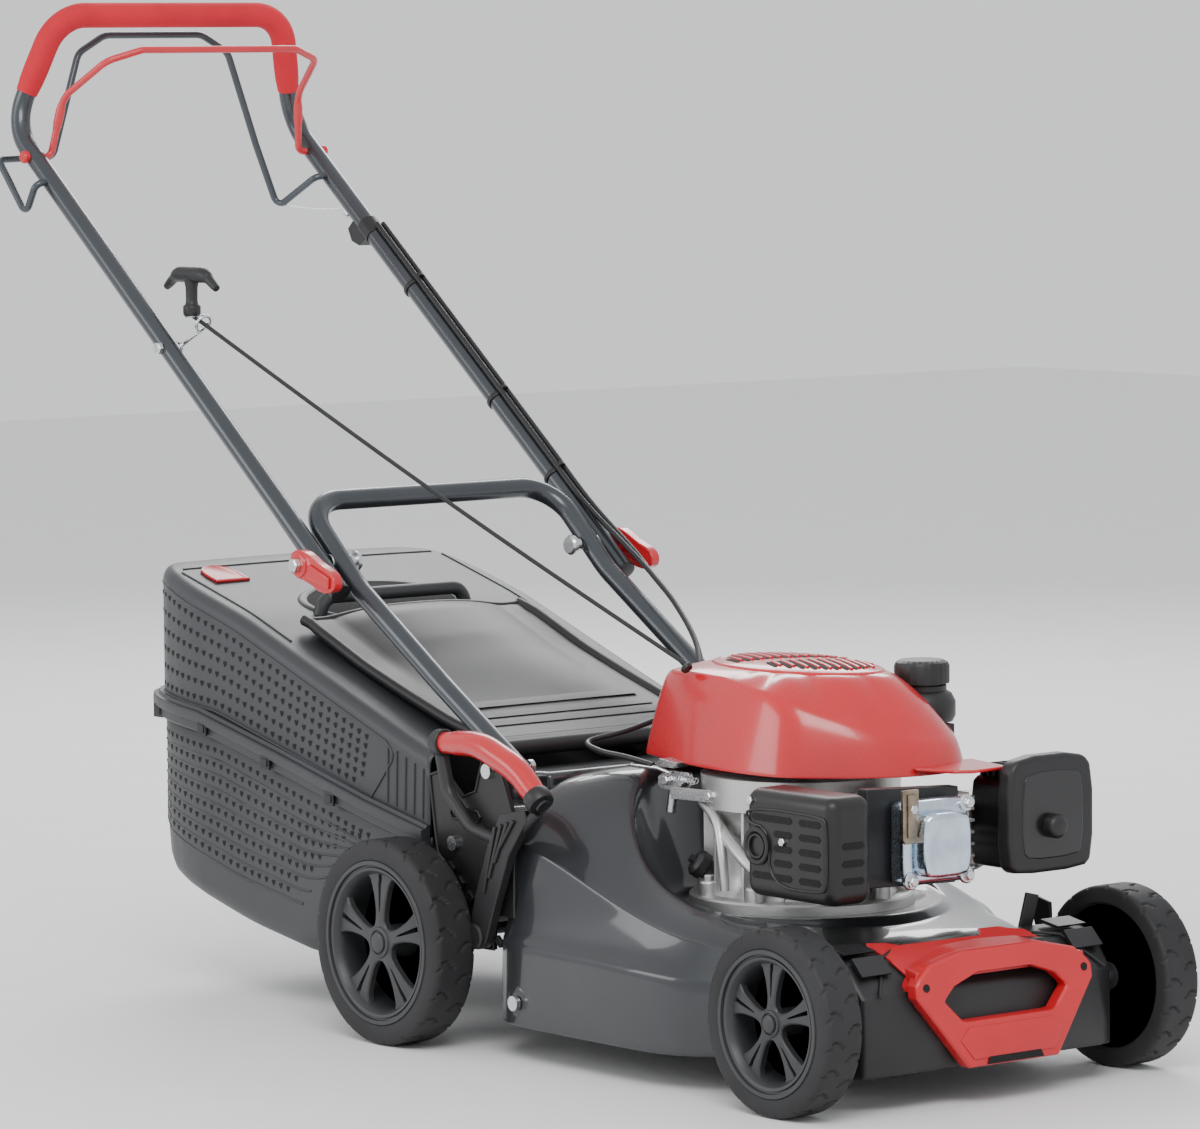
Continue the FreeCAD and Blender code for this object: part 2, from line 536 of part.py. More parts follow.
tank = block("tank_box", at(318, 84, 302), at(432, 131, 334))
neck = rod("tank_neck", "neck_r", 52.0, at(405, 112, 322), Z)
node("fuel_tank", boolean("Fuse", "fuel_tank", tank, [neck]))
node("fuel_cap", rod("fuel_cap", "cap_r", 24.0, at(405, 112, 374.4), Z))

node("dipstick", rod("dipstick", 14.0, 18.0, dip_foot + DIP * 26.4, DIP))

arm_plate = block("linkage_plate", at(228, -82, 264), at(276, -78, 284))
arm_post = block("linkage_post", at(266, -82, 240), at(276, -60, 284))
node("brake_linkage", boolean("Fuse", "brake_linkage", arm_plate, [arm_post]))

# ---------------------------------------------------------------- front end
SHROUD_SIDE = [(561, 44), (561, 149), (600, 142), (634, 112), (644, 60), (640, 34), (600, 34)]
shroud_out = boolean("Common", "shroud_outer", prism("shroud_side", "XZ", side(SHROUD_SIDE), "shroud_w"),
                     [prism("shroud_plan", "XY", plan([(560, 168), (600, 168), (630, 160), (646, 132)]),
                            400.0, 100.0)])
inside = [(564, 30), (564, 145), (599, 138), (631, 110), (640, 60), (636, 20), (600, 20)]
shroud_in = boolean("Common", "shroud_inner", prism("shroud_side_in", "XZ", side(inside), "shroud_w - 8"),
                    [prism("shroud_plan_in", "XY", plan([(560, 164), (599, 164), (628, 156), (643, 129)]),
                           400.0, 100.0)])
axle_slot = block("shroud_axle_slot", at(562, -180, 50), at(592, 180, 132))
hand_room = block("shroud_hand_room", at(606, -84, 80), at(650, 84, 130))
node("front_shroud", boolean("Cut", "front_shroud", shroud_out, [shroud_in, axle_slot, hand_room]))

frame_yz = [(-58, 38), (58, 38), (114, 110), (114, 122), (92, 138), (48, 147), (-48, 147), (-92, 138),
            (-114, 122), (-114, 110)]
loop_yz = [(-60, 82), (60, 82), (80, 102), (34, 126), (-34, 126), (-80, 102)]
fx = 648 + AXLE
frame_solid = prism("handle_plate", "YZ", frame_yz, "handle_t", fx + 5)
frame_hole = prism("handle_window", "YZ", loop_yz, 40.0, fx + 5)
ears = [block("handle_ear%d" % s, at(643.4, s * 44 - 12, 64), at(650, s * 44 + 12, 80)) for s in (-1, 1)]
frame_cut = boolean("Cut", "handle_frame", frame_solid, [frame_hole])
node("front_handle", boolean("Fuse", "front_handle", frame_cut, ears))


# ---------------------------------------------------------------- handles
TUBE_LINE = (V(-162, 0, 446), V(-768, 0, 927))
DOWN = (TUBE_LINE[0] - TUBE_LINE[1]).normalize()
LIFT = V(-DOWN.z, 0, DOWN.x)


def on_tube(z, y=0.0):
    """The point on the upper handle's straight side at a height."""
    k = (z - TUBE_LINE[0].z) / (TUBE_LINE[1].z - TUBE_LINE[0].z)
    p = TUBE_LINE[0] + (TUBE_LINE[1] - TUBE_LINE[0]) * k
    return at(p.x, y, p.z)


def tube(name, points, bends, radius, bore):
    outside = bent_rod(name + "_out", points, bends, radius)
    hollow = bent_rod(name + "_in", points, bends, bore)
    return outside, hollow


LY2, UY = size("lower_y"), size("upper_y")
low_half = [at(112, -LY2, 281), at(-21, -LY2, 360), at(-164, -LY2, 450), at(-258, -LY2, 534)]
low_out, low_in = tube("lower_tube", mirrored(low_half), [120.0, 150.0, 46.0, 46.0, 150.0, 120.0],
                       "tube_r", "tube_r - tube_wall")
FOLD = on_tube(474)
fold_hole = rod("lower_fold_hole", "bolt_r", 420.0, V(FOLD.x, -210, FOLD.z), Y)
end_hole = rod("lower_end_hole", "bolt_r", 420.0, at(106, -210, 284.5), Y)
node("lower_handle", boolean("Cut", "lower_handle", low_out, [low_in, fold_hole, end_hole]))

RED_PIVOT, DARK_PIVOT = on_tube(893), on_tube(865)
up_half = [on_tube(446, -UY), on_tube(927, -UY), at(-732, -152, 1049)]
up_out, up_in = tube("upper_tube", mirrored(up_half), [55.0, 48.0, 48.0, 55.0],
                     "tube_r", "tube_r - tube_wall")
holes = [rod("upper_fold_hole", "bolt_r + run_gap", 420.0, V(FOLD.x, -210, FOLD.z), Y)]
for tag, pivot, s, start in (("red", RED_PIVOT, -1, -13), ("red", RED_PIVOT, 1, -13),
                             ("dark", DARK_PIVOT, -1, -1), ("dark", DARK_PIVOT, 1, -13)):
    holes.append(rod("upper_%s_hole%d" % (tag, s), "bail_r + run_gap", 14.0,
                     V(pivot.x, s * (UY + start), pivot.z), Y * s))
node("upper_handle", boolean("Cut", "upper_handle", up_out, [up_in] + holes))

foam_start = on_tube(927, -UY) + (at(-732, -152, 1049) - on_tube(927, -UY)) * 0.3
foam_half = [foam_start, at(-732, -152, 1049)]
foam_out, foam_in = tube("foam", mirrored(foam_half), [48.0, 48.0], "foam_r", "tube_r")
node("grip_foam", boolean("Cut", "grip_foam", foam_out, [foam_in]))

bolts = []
for s in (-1, 1):
    head = V(FOLD.x, s * (LY2 - 19), FOLD.z)
    shank = rod("fold_bolt%d" % s, "bolt_r", 64.0, head, Y * s)
    cap = rod("fold_bolt_head%d" % s, "bolt_head_r", 7.0, head, Y * s)
    washer = rod("fold_washer%d" % s, 9.0, 1.6, V(FOLD.x, s * (LY2 + 11.2), FOLD.z), Y * s)
    bolts.append(boolean("Fuse", "fold_bolt_%d" % s, shank, [cap, washer]))
    end = at(106, s * (LY2 - 17), 284.5)
    shank = rod("end_bolt%d" % s, "bolt_r", 56.0, end, Y * s)
    cap = rod("end_bolt_head%d" % s, "bolt_head_r", 5.0, end, Y * s)
    nut = rod("end_bolt_nut%d" % s, "bolt_head_r", 5.0, at(106, s * 203.2, 284.5), Y * s)
    spacer = rod("end_bolt_spacer%d" % s, 9.0, 21.0, at(106, s * 177.5, 284.5), Y * s)
    bolts.append(boolean("Fuse", "end_bolt_%d" % s, shank, [cap, nut, spacer]))
node("handle_bolts", group("handle_bolts", bolts))

deck_bolts = []
for s in (-1, 1):
    deck_bolts.append(rod("skirt_bolt%d" % s, "bolt_head_r", "bolt_head_t", at(176, s * 226, 60), Y * s))
    deck_bolts.append(rod("plate_bolt%d" % s, "bolt_head_r", "bolt_head_t", at(48, s * 203, 206), Y * s))
    deck_bolts.append(rod("plate_bolt_b%d" % s, "bolt_head_r", "bolt_head_t", at(136, s * 203, 200), Y * s))
node("hex_bolts", group("hex_bolts", deck_bolts + studs + heads))

for tag, s in (("right", -1), ("left", 1)):
    base = V(FOLD.x, s * (UY + 11.6), FOLD.z)
    cam = rod("cam_eye_" + tag, 13.0, 15.0, base, Y * s)
    grip = prism("cam_blade_" + tag, "XZ", [(FOLD.x - 16, FOLD.z + 10), (FOLD.x - 8, FOLD.z - 12),
                                            (FOLD.x + 44, FOLD.z - 26), (FOLD.x + 62, FOLD.z - 20),
                                            (FOLD.x + 58, FOLD.z - 6), (FOLD.x + 14, FOLD.z + 14)],
                 9.0, s * (UY + 11.6 + 9.0))
    solid = boolean("Fuse", "cam_solid_" + tag, cam, [grip])
    hole = rod("cam_hole_" + tag, "bolt_r + run_gap", 20.0, base, Y * s)
    node("cam_lever_" + tag, boolean("Cut", "cam_lever_" + tag, solid, [hole]))

red = [V(RED_PIVOT.x, -(UY - 2), RED_PIVOT.z), V(RED_PIVOT.x, -(UY - 21), RED_PIVOT.z),
       at(-712, -160, 958), at(-652, -142, 998), at(-637, -104, 1010)]
node("stop_bail", bent_rod("stop_bail", mirrored(red), [9.0, 30.0, 22.0, 14.0, 14.0, 22.0, 30.0, 9.0],
                           "bail_r"))
jog = [V(DARK_PIVOT.x, -(UY + 1), DARK_PIVOT.z), V(DARK_PIVOT.x, -(UY + 22), DARK_PIVOT.z),
       at(-711, -(UY + 22), 830), at(-765, -(UY + 22), 890), at(-765, -140, 892)]
bow = [at(-768, -102, 1007), at(-768, -66, 1027), at(-768, 66, 1027), at(-768, 102, 1007)]
hook = [at(-758, 133, 901), at(-752, 158, 829), V(DARK_PIVOT.x, UY - 22, DARK_PIVOT.z),
        V(DARK_PIVOT.x, UY - 2, DARK_PIVOT.z)]
node("drive_bail", bent_rod("drive_bail", jog + bow + hook,
                            [9.0, 9.0, 9.0, 12.0, 20.0, 30.0, 30.0, 20.0, 40.0, 9.0, 9.0], "bail_r"))

# ---------------------------------------------------------------- starter
TEE = at(-468, -160, 766)
TEE_FOOT = TEE + V(0, 0, -42)
OUTLET = at(246, -60, 392)
pull = (TEE_FOOT - OUTLET).normalize()
half = size("tee_len") / 2
bar = bent_rod("tee_bar", [TEE + V(-half, 0, -12), TEE + V(-half * 0.55, 0, 2), TEE + V(half * 0.55, 0, 2),
                           TEE + V(half, 0, -12)], [24.0, 24.0], "tee_r")
stem = rod("tee_stem", 6.5, 38.0, TEE + V(0, 0, -40), Z)
ferrule = rod("tee_ferrule", 9.5, 13.0, TEE_FOOT, Z)
node("starter_handle", boolean("Fuse", "starter_handle", bar, [stem, ferrule]))
rope_end = TEE_FOOT - pull * 5.6
rope_len = (rope_end - OUTLET).Length
node("starter_rope", rod("starter_rope", "rope_r", rope_len, OUTLET, pull))
seat = on_tube(690, -UY)
guide_at = TEE_FOOT + pull * -18.0
eye = doc.addObject("Part::Torus", "guide_eye")
eye.Radius1, eye.Radius2 = 9.0, 2.2
eye.Placement = FreeCAD.Placement(guide_at, FreeCAD.Rotation(Z, pull))
leg = bent_rod("guide_leg", [guide_at + V(0, -9, 0), V(seat.x + 2, -UY + 12.5, guide_at.z - 6),
                             V(seat.x, -UY + 5, seat.z)], [6.0], 2.0)
node("rope_guide", boolean("Fuse", "rope_guide", eye, [leg]))

# ---------------------------------------------------------------- cables
CLEAR = size("tube_r") + size("cable_r") + 1.8
bracket_at = on_tube(805, UY)
cables = []
for tag, dy in (("brake_cable", -4.2), ("drive_cable", 4.2)):
    offset = LIFT * CLEAR
    points = [on_tube(790, UY + dy) + offset, on_tube(640, UY + dy) + offset, on_tube(500, UY + dy) + offset,
              at(-137, UY + dy * 0.5 - 6, 462), at(-60, 166, 424), at(30, 140, 390), at(96, 90, 352)]
    points += [at(122, 30, 332), at(130, -36, 318), at(164, -78, 308), at(214, -90, 304), at(246, -90, 288)] \
        if tag == "brake_cable" else [at(124, 70, 322), at(126, 58, 300), at(127, 56, 284)]
    bends = []
    for i in range(1, len(points) - 1):
        into, out = points[i] - points[i - 1], points[i + 1] - points[i]
        turn = max(into.getAngle(out), 0.02)
        bends.append(0.45 * min(into.Length, out.Length) / math.tan(turn / 2))
    cables.append(bent_rod(tag, points, bends, "cable_r"))
node("control_cables", group("control_cables", cables))
ties = [block("cable_bracket", bracket_at + V(-9, -8, 14.4), bracket_at + V(9, 8, 32))]
for k, z in enumerate((740, 620, 540)):
    spot = on_tube(z, UY)
    outer_band = rod("tie_out%d" % k, "tube_r + 1.4", 5.0, spot, DOWN)
    inner_band = rod("tie_in%d" % k, "tube_r", 5.0, spot, DOWN)
    ties.append(boolean("Cut", "tie%d" % k, outer_band, [inner_band]))
node("cable_clips", group("cable_clips", ties))

# ---------------------------------------------------------------- catcher
TOP = [(-505, 452), (-485, 450), (-341, 411), (-180, 354), (-37, 304), (4, 292)]
RIM_BACK = [(-548, 308)]
RIM_Z = [(-523, 306), (-375, 292), (-247, 261), (-132, 233), (-73, 221), (2, 206)]
BASE = [(-514, 135), (-500, 118), (-338, 78), (-211, 58), (-130, 92), (-60, 150), (2, 176)]
w = size("catcher_wall")
upper_side = RIM_Z[:1] + [(-530, 440)] + TOP + RIM_Z[1:][::-1]
upper_in = [(-520, 300), (-526, 437), (-505, 449), (-485, 447), (-341, 408), (-180, 351), (-37, 301),
            (10, 287), (10, 200), (-73, 215), (-132, 227), (-247, 255), (-375, 286)]
catcher_plan = [(-532, 150), (-500, 184), (-420, 200), (10, 200)]
catcher_plan_in = [(-529, 148), (-498, 181), (-420, 197), (14, 197)]


def shell(tag, out_side, in_side):
    """A half of the catcher: outer form less the form inside its wall."""
    forms = []
    for kind, tall, flat, wide in (("out", out_side, catcher_plan, "catcher_w"),
                                   ("in", in_side, catcher_plan_in, "catcher_w - catcher_wall * 2")):
        across = prism("catcher_%s_%s" % (tag, kind), "XZ", side(tall), wide)
        above = prism("catcher_%s_%s_plan" % (tag, kind), "XY", plan(flat), 600.0, 300.0)
        forms.append(boolean("Common", "catcher_%s_%s_form" % (tag, kind), across, [above]))
    return forms


out_form, in_form = shell("top", upper_side, upper_in)
level_hole = block("catcher_level_hole", at(-474, -160, 440), at(-430, -112, 462))
grab_points = [at(-326, -98, 402), at(-326, -96, 428), at(-326, 96, 428), at(-326, 98, 402)]
grab = bent_rod("catcher_grab", grab_points, [16.0, 16.0], 8.0)
shell_top = boolean("Cut", "catcher_top", out_form, [in_form, level_hole])
node("catcher_upper", boolean("Fuse", "catcher_upper", shell_top, [grab]))
lower_side = [(-523, 306), (-522, 213)] + BASE + RIM_Z[1:][::-1]
lower_in = [(-520, 312), (-519, 213), (-511, 137), (-498, 121), (-338, 81), (-211, 61), (-132, 95),
            (-62, 153), (10, 180), (10, 214), (-73, 229), (-132, 241), (-247, 269), (-375, 300)]
out_form, in_form = shell("base", lower_side, lower_in)
node("catcher_lower", boolean("Cut", "catcher_lower", out_form, [in_form]))

rim_up = [(x, z + 8) for x, z in RIM_BACK + RIM_Z]
rim_low = [(x, z - 8) for x, z in reversed(RIM_BACK + RIM_Z)]
rim_across = prism("rim_side", "XZ", side(rim_up + rim_low), "rim_w")
rim_plan = prism("rim_plan", "XY", plan([(-542, 156), (-505, 198), (-425, 213), (2, 213)]), 600.0, 300.0)
rim_hole = prism("rim_hole", "XY", plan([(-532.4, 150.2), (-500.2, 184.4), (-420, 200.3), (6, 200.3)]),
                 600.0, 300.0)
node("catcher_rim", boolean("Cut", "catcher_rim", boolean("Common", "rim_form", rim_across, [rim_plan]),
                            [rim_hole]))
flap_plate = block("level_plate", at(-473, -158, 436.6), at(-432, -114, 439.6), 15.0, at(-431, -136, 436))
flap_pin = rod("level_pin", 1.8, 44.0, at(-433, -158, 438.2), Y)
node("fill_flap", boolean("Fuse", "fill_flap", flap_plate, [flap_pin]))

# ---------------------------------------------------------------- rear flap
HINGE = (44, 296)
flap_side = [(38, 302), (38, 306), (-30, 318), (-180, 365), (-288, 407.6), (-294, 405), (-294, 400.5),
             (-180, 360), (-30, 313)]
leaf = prism("flap_leaf", "XZ", side(flap_side), "flap_w")
knuckle = rod("flap_knuckle", 9.0, "flap_w", at(HINGE[0], -size("flap_w") / 2, HINGE[1]), Y)
notch = rod("flap_bore", "rod_r + run_gap", "flap_w", at(HINGE[0], -size("flap_w") / 2, HINGE[1]), Y)
flap = boolean("Fuse", "flap_solid", leaf, [knuckle])
node("rear_flap", boolean("Cut", "rear_flap", flap, [notch]))
node("flap_rod", rod("flap_rod", "rod_r", "flap_w + 20", at(HINGE[0], -size("flap_w") / 2 - 10, HINGE[1]), Y))

# ---------------------------------------------------------------- check and export
doc.recompute()
os.makedirs("parts", exist_ok=True)
for obj in doc.Objects:
    if "Invalid" in obj.State or "Error" in obj.State:
        raise RuntimeError("%s did not recompute" % obj.Name)
for piece in NODES:
    if piece.Shape.isNull() or not piece.Shape.isValid():
        raise RuntimeError("%s has no valid shape" % piece.Label)
    piece.Shape.exportStep("parts/%s.step" % piece.Label)
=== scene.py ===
"""Petrol walk-behind lawn mower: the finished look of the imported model."""
import math
import bmesh
import bpy
from mathutils import Matrix, Vector


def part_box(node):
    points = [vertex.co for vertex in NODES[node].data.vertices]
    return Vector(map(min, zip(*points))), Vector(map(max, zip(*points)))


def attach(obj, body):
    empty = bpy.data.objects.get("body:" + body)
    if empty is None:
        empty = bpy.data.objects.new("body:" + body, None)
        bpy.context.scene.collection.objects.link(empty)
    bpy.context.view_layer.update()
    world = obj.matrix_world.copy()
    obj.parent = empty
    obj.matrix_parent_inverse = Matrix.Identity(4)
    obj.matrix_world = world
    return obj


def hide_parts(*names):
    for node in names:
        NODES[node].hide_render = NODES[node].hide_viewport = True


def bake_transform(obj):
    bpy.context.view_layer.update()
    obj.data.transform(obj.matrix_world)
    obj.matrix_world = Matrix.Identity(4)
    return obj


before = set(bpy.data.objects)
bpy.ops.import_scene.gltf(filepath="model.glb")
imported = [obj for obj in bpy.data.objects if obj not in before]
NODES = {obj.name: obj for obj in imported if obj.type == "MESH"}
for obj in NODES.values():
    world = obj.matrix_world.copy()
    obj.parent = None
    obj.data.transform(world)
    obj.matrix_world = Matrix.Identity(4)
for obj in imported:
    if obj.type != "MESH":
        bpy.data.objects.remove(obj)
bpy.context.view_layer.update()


def middle(node):
    """The middle of a node's box."""
    low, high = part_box(node)
    return (low + high) / 2


AXLE = middle("tyre_rear_right")
X0 = AXLE.x


def at(x, y, z):
    """A point in millimetres, x counted from the rear axle."""
    return Vector((x / 1000 + X0, y / 1000, z / 1000))


# ---------------------------------------------------------------- materials
class Nodes:
    """A small wrapper that adds and links shader nodes."""

    def __init__(self, name):
        self.mat = bpy.data.materials.new(name)
        self.mat.use_nodes = True
        self.tree = self.mat.node_tree
        self.bsdf = self.tree.nodes["Principled BSDF"]

    def add(self, kind, **values):
        node = self.tree.nodes.new(kind)
        for key, value in values.items():
            if key in node.inputs:
                node.inputs[key].default_value = value
            else:
                setattr(node, key, value)
        return node

    def link(self, out_node, out_name, in_node, in_name):
        self.tree.links.new(out_node.outputs[out_name], in_node.inputs[in_name])

    def noise(self, scale, detail=4.0, rough=0.55, stretch=(1, 1, 1)):
        coord = self.add("ShaderNodeTexCoord")
        mapping = self.add("ShaderNodeMapping")
        mapping.inputs["Scale"].default_value = stretch
        self.link(coord, "Object", mapping, "Vector")
        noise = self.add("ShaderNodeTexNoise", Scale=scale, Detail=detail, Roughness=rough)
        self.link(mapping, "Vector", noise, "Vector")
        return noise

    def ramp(self, source, out_name, low, high, start=0.35, end=0.65):
        ramp = self.add("ShaderNodeValToRGB")
        ramp.color_ramp.elements[0].position = start
        ramp.color_ramp.elements[1].position = end
        ramp.color_ramp.elements[0].color = (*low, 1) if len(low) == 3 else low
        ramp.color_ramp.elements[1].color = (*high, 1) if len(high) == 3 else high
        self.link(source, out_name, ramp, "Fac")
        return ramp

    def bump(self, height, out_name, strength, distance):
        bump = self.add("ShaderNodeBump", Strength=strength, Distance=distance)
        self.link(height, out_name, bump, "Height")
        self.link(bump, "Normal", self.bsdf, "Normal")
        return bump


def grey(value):
    """One value on all three channels."""
    return (value, value, value)


def shade(colour, factor):
    """A colour made darker or lighter."""
    return tuple(min(1.0, c * factor) for c in colour)


def surface(name, colour, rough, metal=0.0, coat=0.0, coat_rough=0.1, grain=900.0, bump=0.12, depth=0.0002,
            spread=0.12, rough_spread=0.08, stretch=(1, 1, 1), cloud=9.0, specular=0.5):
    """A surface with slow colour drift, uneven roughness and a fine grain."""
    kit = Nodes(name)
    slow = kit.noise(cloud, 3.0)
    tone = kit.ramp(slow, "Fac", shade(colour, 1 - spread), shade(colour, 1 + spread))
    kit.link(tone, "Color", kit.bsdf, "Base Color")
    fine = kit.noise(grain, 3.0, 0.6, stretch)
    dull = kit.ramp(fine, "Fac", grey(max(0.02, rough - rough_spread)), grey(min(1.0, rough + rough_spread)))
    kit.link(dull, "Color", kit.bsdf, "Roughness")
    kit.bsdf.inputs["Metallic"].default_value = metal
    kit.bsdf.inputs["Coat Weight"].default_value = coat
    kit.bsdf.inputs["Coat Roughness"].default_value = coat_rough
    kit.bsdf.inputs["Specular IOR Level"].default_value = specular
    kit.bump(fine, "Fac", bump, depth)
    return kit.mat


RED = (0.56, 0.012, 0.018)
BLACK = (0.012, 0.012, 0.013)
MATS = {
    "deck_paint": surface("deck_paint", (0.032, 0.035, 0.039), 0.34, metal=0.5, coat=0.7, coat_rough=0.07,
        grain=5200.0,
                          bump=0.05, depth=0.00005, spread=0.10),
    "tube_paint": surface("tube_paint", (0.055, 0.062, 0.070), 0.32, metal=0.7, coat=0.5, coat_rough=0.12,
        grain=4000.0,
                          bump=0.04, depth=0.00005, spread=0.08),
    "red_plastic": surface("red_plastic", RED, 0.36, coat=0.15, coat_rough=0.3, grain=2600.0, bump=0.10,
        depth=0.00008,
                           spread=0.06),
    "red_gloss": surface("red_gloss", RED, 0.24, coat=0.4, coat_rough=0.1, grain=1400.0, bump=0.03,
        depth=0.00006,
                         spread=0.05),
    "red_foam": surface("red_foam", (0.60, 0.02, 0.035), 0.78, grain=1500.0, bump=0.5, depth=0.0004,
        spread=0.10,
                        specular=0.25),
    "red_wire": surface("red_wire", (0.60, 0.02, 0.03), 0.38, coat=0.3, grain=1500.0, bump=0.08, depth=0.0001,
                        spread=0.08),
    "dark_wire": surface("dark_wire", (0.06, 0.07, 0.08), 0.36, metal=0.6, coat=0.3, grain=1500.0, bump=0.06,
                         depth=0.0001),
    "black_plastic": surface("black_plastic", BLACK, 0.46, grain=2400.0, bump=0.22, depth=0.00012,
        spread=0.25),
    "black_gloss": surface("black_gloss", (0.008, 0.008, 0.009), 0.26, coat=0.3, coat_rough=0.15,
        grain=1600.0,
                           bump=0.06, depth=0.00008, spread=0.3),
    "grey_plastic": surface("grey_plastic", (0.030, 0.033, 0.036), 0.48, grain=1900.0, bump=0.22,
        depth=0.00014,
                            spread=0.08, coat=0.1, coat_rough=0.4),
    "grey_rim": surface("grey_rim", (0.045, 0.049, 0.053), 0.46, grain=1900.0, bump=0.18, depth=0.00012,
        spread=0.08),
    "tyre_rubber": surface("tyre_rubber", (0.020, 0.020, 0.021), 0.60, grain=1300.0, bump=0.30, depth=0.0002,
                           spread=0.25, specular=0.35),
    "wheel_plastic": surface("wheel_plastic", (0.030, 0.031, 0.033), 0.44, grain=1800.0, bump=0.16,
        depth=0.00012,
                             spread=0.25),
    "cast_alu": surface("cast_alu", (0.56, 0.56, 0.55), 0.42, metal=0.9, grain=700.0, bump=0.35, depth=0.0003,
                        spread=0.14, rough_spread=0.12),
    "zinc": surface("zinc", (0.66, 0.67, 0.68), 0.28, metal=1.0, grain=900.0, bump=0.10, depth=0.0001,
        spread=0.12),
    "blue_zinc": surface("blue_zinc", (0.60, 0.70, 0.80), 0.22, metal=1.0, grain=600.0, bump=0.08,
        depth=0.0001,
                         spread=0.14, cloud=30.0),
    "steel": surface("steel", (0.36, 0.36, 0.37), 0.36, metal=1.0, grain=500.0, bump=0.12, depth=0.0001,
        spread=0.15,
                     stretch=(1, 14, 1)),
    "guard_black": surface("guard_black", (0.013, 0.013, 0.013), 0.40, metal=0.1, grain=1500.0, bump=0.18,
                           depth=0.00012, spread=0.25),
    "hot_steel": surface("hot_steel", (0.36, 0.29, 0.22), 0.42, metal=1.0, grain=420.0, bump=0.2,
        depth=0.0002,
                         spread=0.35, cloud=40.0),
    "cable_sheath": surface("cable_sheath", (0.011, 0.011, 0.012), 0.40, grain=1400.0, bump=0.12,
        depth=0.0001),
    "rope_braid": surface("rope_braid", (0.02, 0.02, 0.021), 0.75, grain=1500.0, bump=0.6, depth=0.0005,
                          stretch=(3, 1, 1)),
    # near-black painted shade, laid as thin sheets in slots, holes and recesses where the real part shows
    # only the dark inside
    "painted_shade": surface("painted_shade", (0.004, 0.004, 0.004), 0.85, grain=600.0, bump=0.2, spread=0.2),
}
NODE_MATS = {
    "deck": "deck_paint", "front_shroud": "black_plastic", "front_handle": "red_plastic",
    "handle_brackets": "guard_black", "lower_handle": "tube_paint", "upper_handle": "tube_paint",
    "handle_bolts": "zinc", "hex_bolts": "zinc", "crankcase": "cast_alu", "cylinder": "cast_alu",
    "valve_cover": "blue_zinc", "muffler": "guard_black", "muffler_guard": "guard_black",
        "spark_plug": "hot_steel",
    "carburettor": "cast_alu", "air_filter_box": "black_plastic", "air_filter_knob": "black_plastic",
    "fuel_tank": "black_plastic", "fuel_cap": "black_plastic", "engine_cover": "red_gloss",
    "brake_linkage": "zinc", "control_cables": "cable_sheath", "cable_clips": "black_plastic",
    "drive_belt": "tyre_rubber", "starter_rope": "rope_braid", "flap_rod": "steel",
        "dipstick": "black_plastic",
    "rear_axle": "steel", "front_axle": "steel", "height_lever": "black_plastic", "lever_grip": "red_plastic",
    "lever_button": "black_gloss", "link_rod": "steel", "gearbox": "cast_alu", "drive_pulley": "steel",
    "crankshaft": "steel", "flywheel": "cast_alu", "blade": "steel", "blade_bolt": "zinc",
    "grip_foam": "red_foam", "rope_guide": "zinc", "cam_lever_right": "red_gloss",
        "cam_lever_left": "red_gloss",
    "stop_bail": "red_wire", "drive_bail": "dark_wire", "rear_flap": "black_plastic",
    "catcher_upper": "grey_plastic", "catcher_lower": "grey_plastic", "catcher_rim": "grey_rim",
    "fill_flap": "red_gloss", "starter_handle": "black_plastic",
}
for name, obj in NODES.items():
    key = NODE_MATS.get(name, "tyre_rubber" if name.startswith("tyre_") else "wheel_plastic")
    obj.data.materials.clear()
    obj.data.materials.append(MATS[key])


# ---------------------------------------------------------------- mesh helpers
def finish(obj, body, mat, replaces=(), bevel=0.0, segments=3, sub=0, sharp=34.0, wall=0.0):
    """Gives a piece its material, modifiers and body."""
    obj.data.materials.clear()
    obj.data.materials.append(MATS[mat])
    if wall:
        shell = obj.modifiers.new("wall", "SOLIDIFY")
        shell.thickness, shell.offset = wall / 1000, -1
    if bevel:
        edge = obj.modifiers.new("edge", "BEVEL")
        edge.width, edge.segments, edge.limit_method = bevel / 1000, segments, "ANGLE"
        edge.angle_limit = math.radians(32)
        edge.harden_normals = False
    if sub:
        smooth = obj.modifiers.new("smooth", "SUBSURF")
        smooth.levels = smooth.render_levels = sub
    obj.data.shade_smooth()
    if sharp and not sub:
        obj.data.set_sharp_from_angle(angle=math.radians(sharp))
    if replaces:
        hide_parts(*replaces)
    if body:
        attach(obj, body)
    return obj


def new_object(name, verts, faces):
    """A mesh object in the scene."""
    mesh = bpy.data.meshes.new(name)
    mesh.from_pydata([tuple(v) for v in verts], [], faces)
    mesh.validate()
    obj = bpy.data.objects.new(name, mesh)
    bpy.context.scene.collection.objects.link(obj)
    return obj


def join(name, parts):
    """One object from several, keeping their places."""
    bm = bmesh.new()
    for part in parts:
        copy = part.data.copy()
        copy.transform(part.matrix_world)
        bm.from_mesh(copy)
        bpy.data.meshes.remove(copy)
        bpy.data.objects.remove(part)
    mesh = bpy.data.meshes.new(name)
    bm.to_mesh(mesh)
    bm.free()
    obj = bpy.data.objects.new(name, mesh)
    bpy.context.scene.collection.objects.link(obj)
    return obj


def outward(obj):
    """Turns every face to point out."""
    bm = bmesh.new()
    bm.from_mesh(obj.data)
    bmesh.ops.recalc_face_normals(bm, faces=bm.faces)
    bm.to_mesh(obj.data)
    bm.free()
    return obj


def loft(name, rings, closed=True, caps=(False, False)):
    """Rings of points joined in order; closed joins each ring's ends."""
    count = len(rings[0])
    verts = [point for ring in rings for point in ring]
    faces = []
    span = count if closed else count - 1
    for r in range(len(rings) - 1):
        for k in range(span):
            a, b = r * count + k, r * count + (k + 1) % count
            faces.append((a, b, b + count, a + count))
    if caps[0]:
        faces.append(tuple(range(count))[::-1])
    if caps[1]:
        faces.append(tuple((len(rings) - 1) * count + k for k in range(count)))
    return outward(new_object(name, verts, faces))


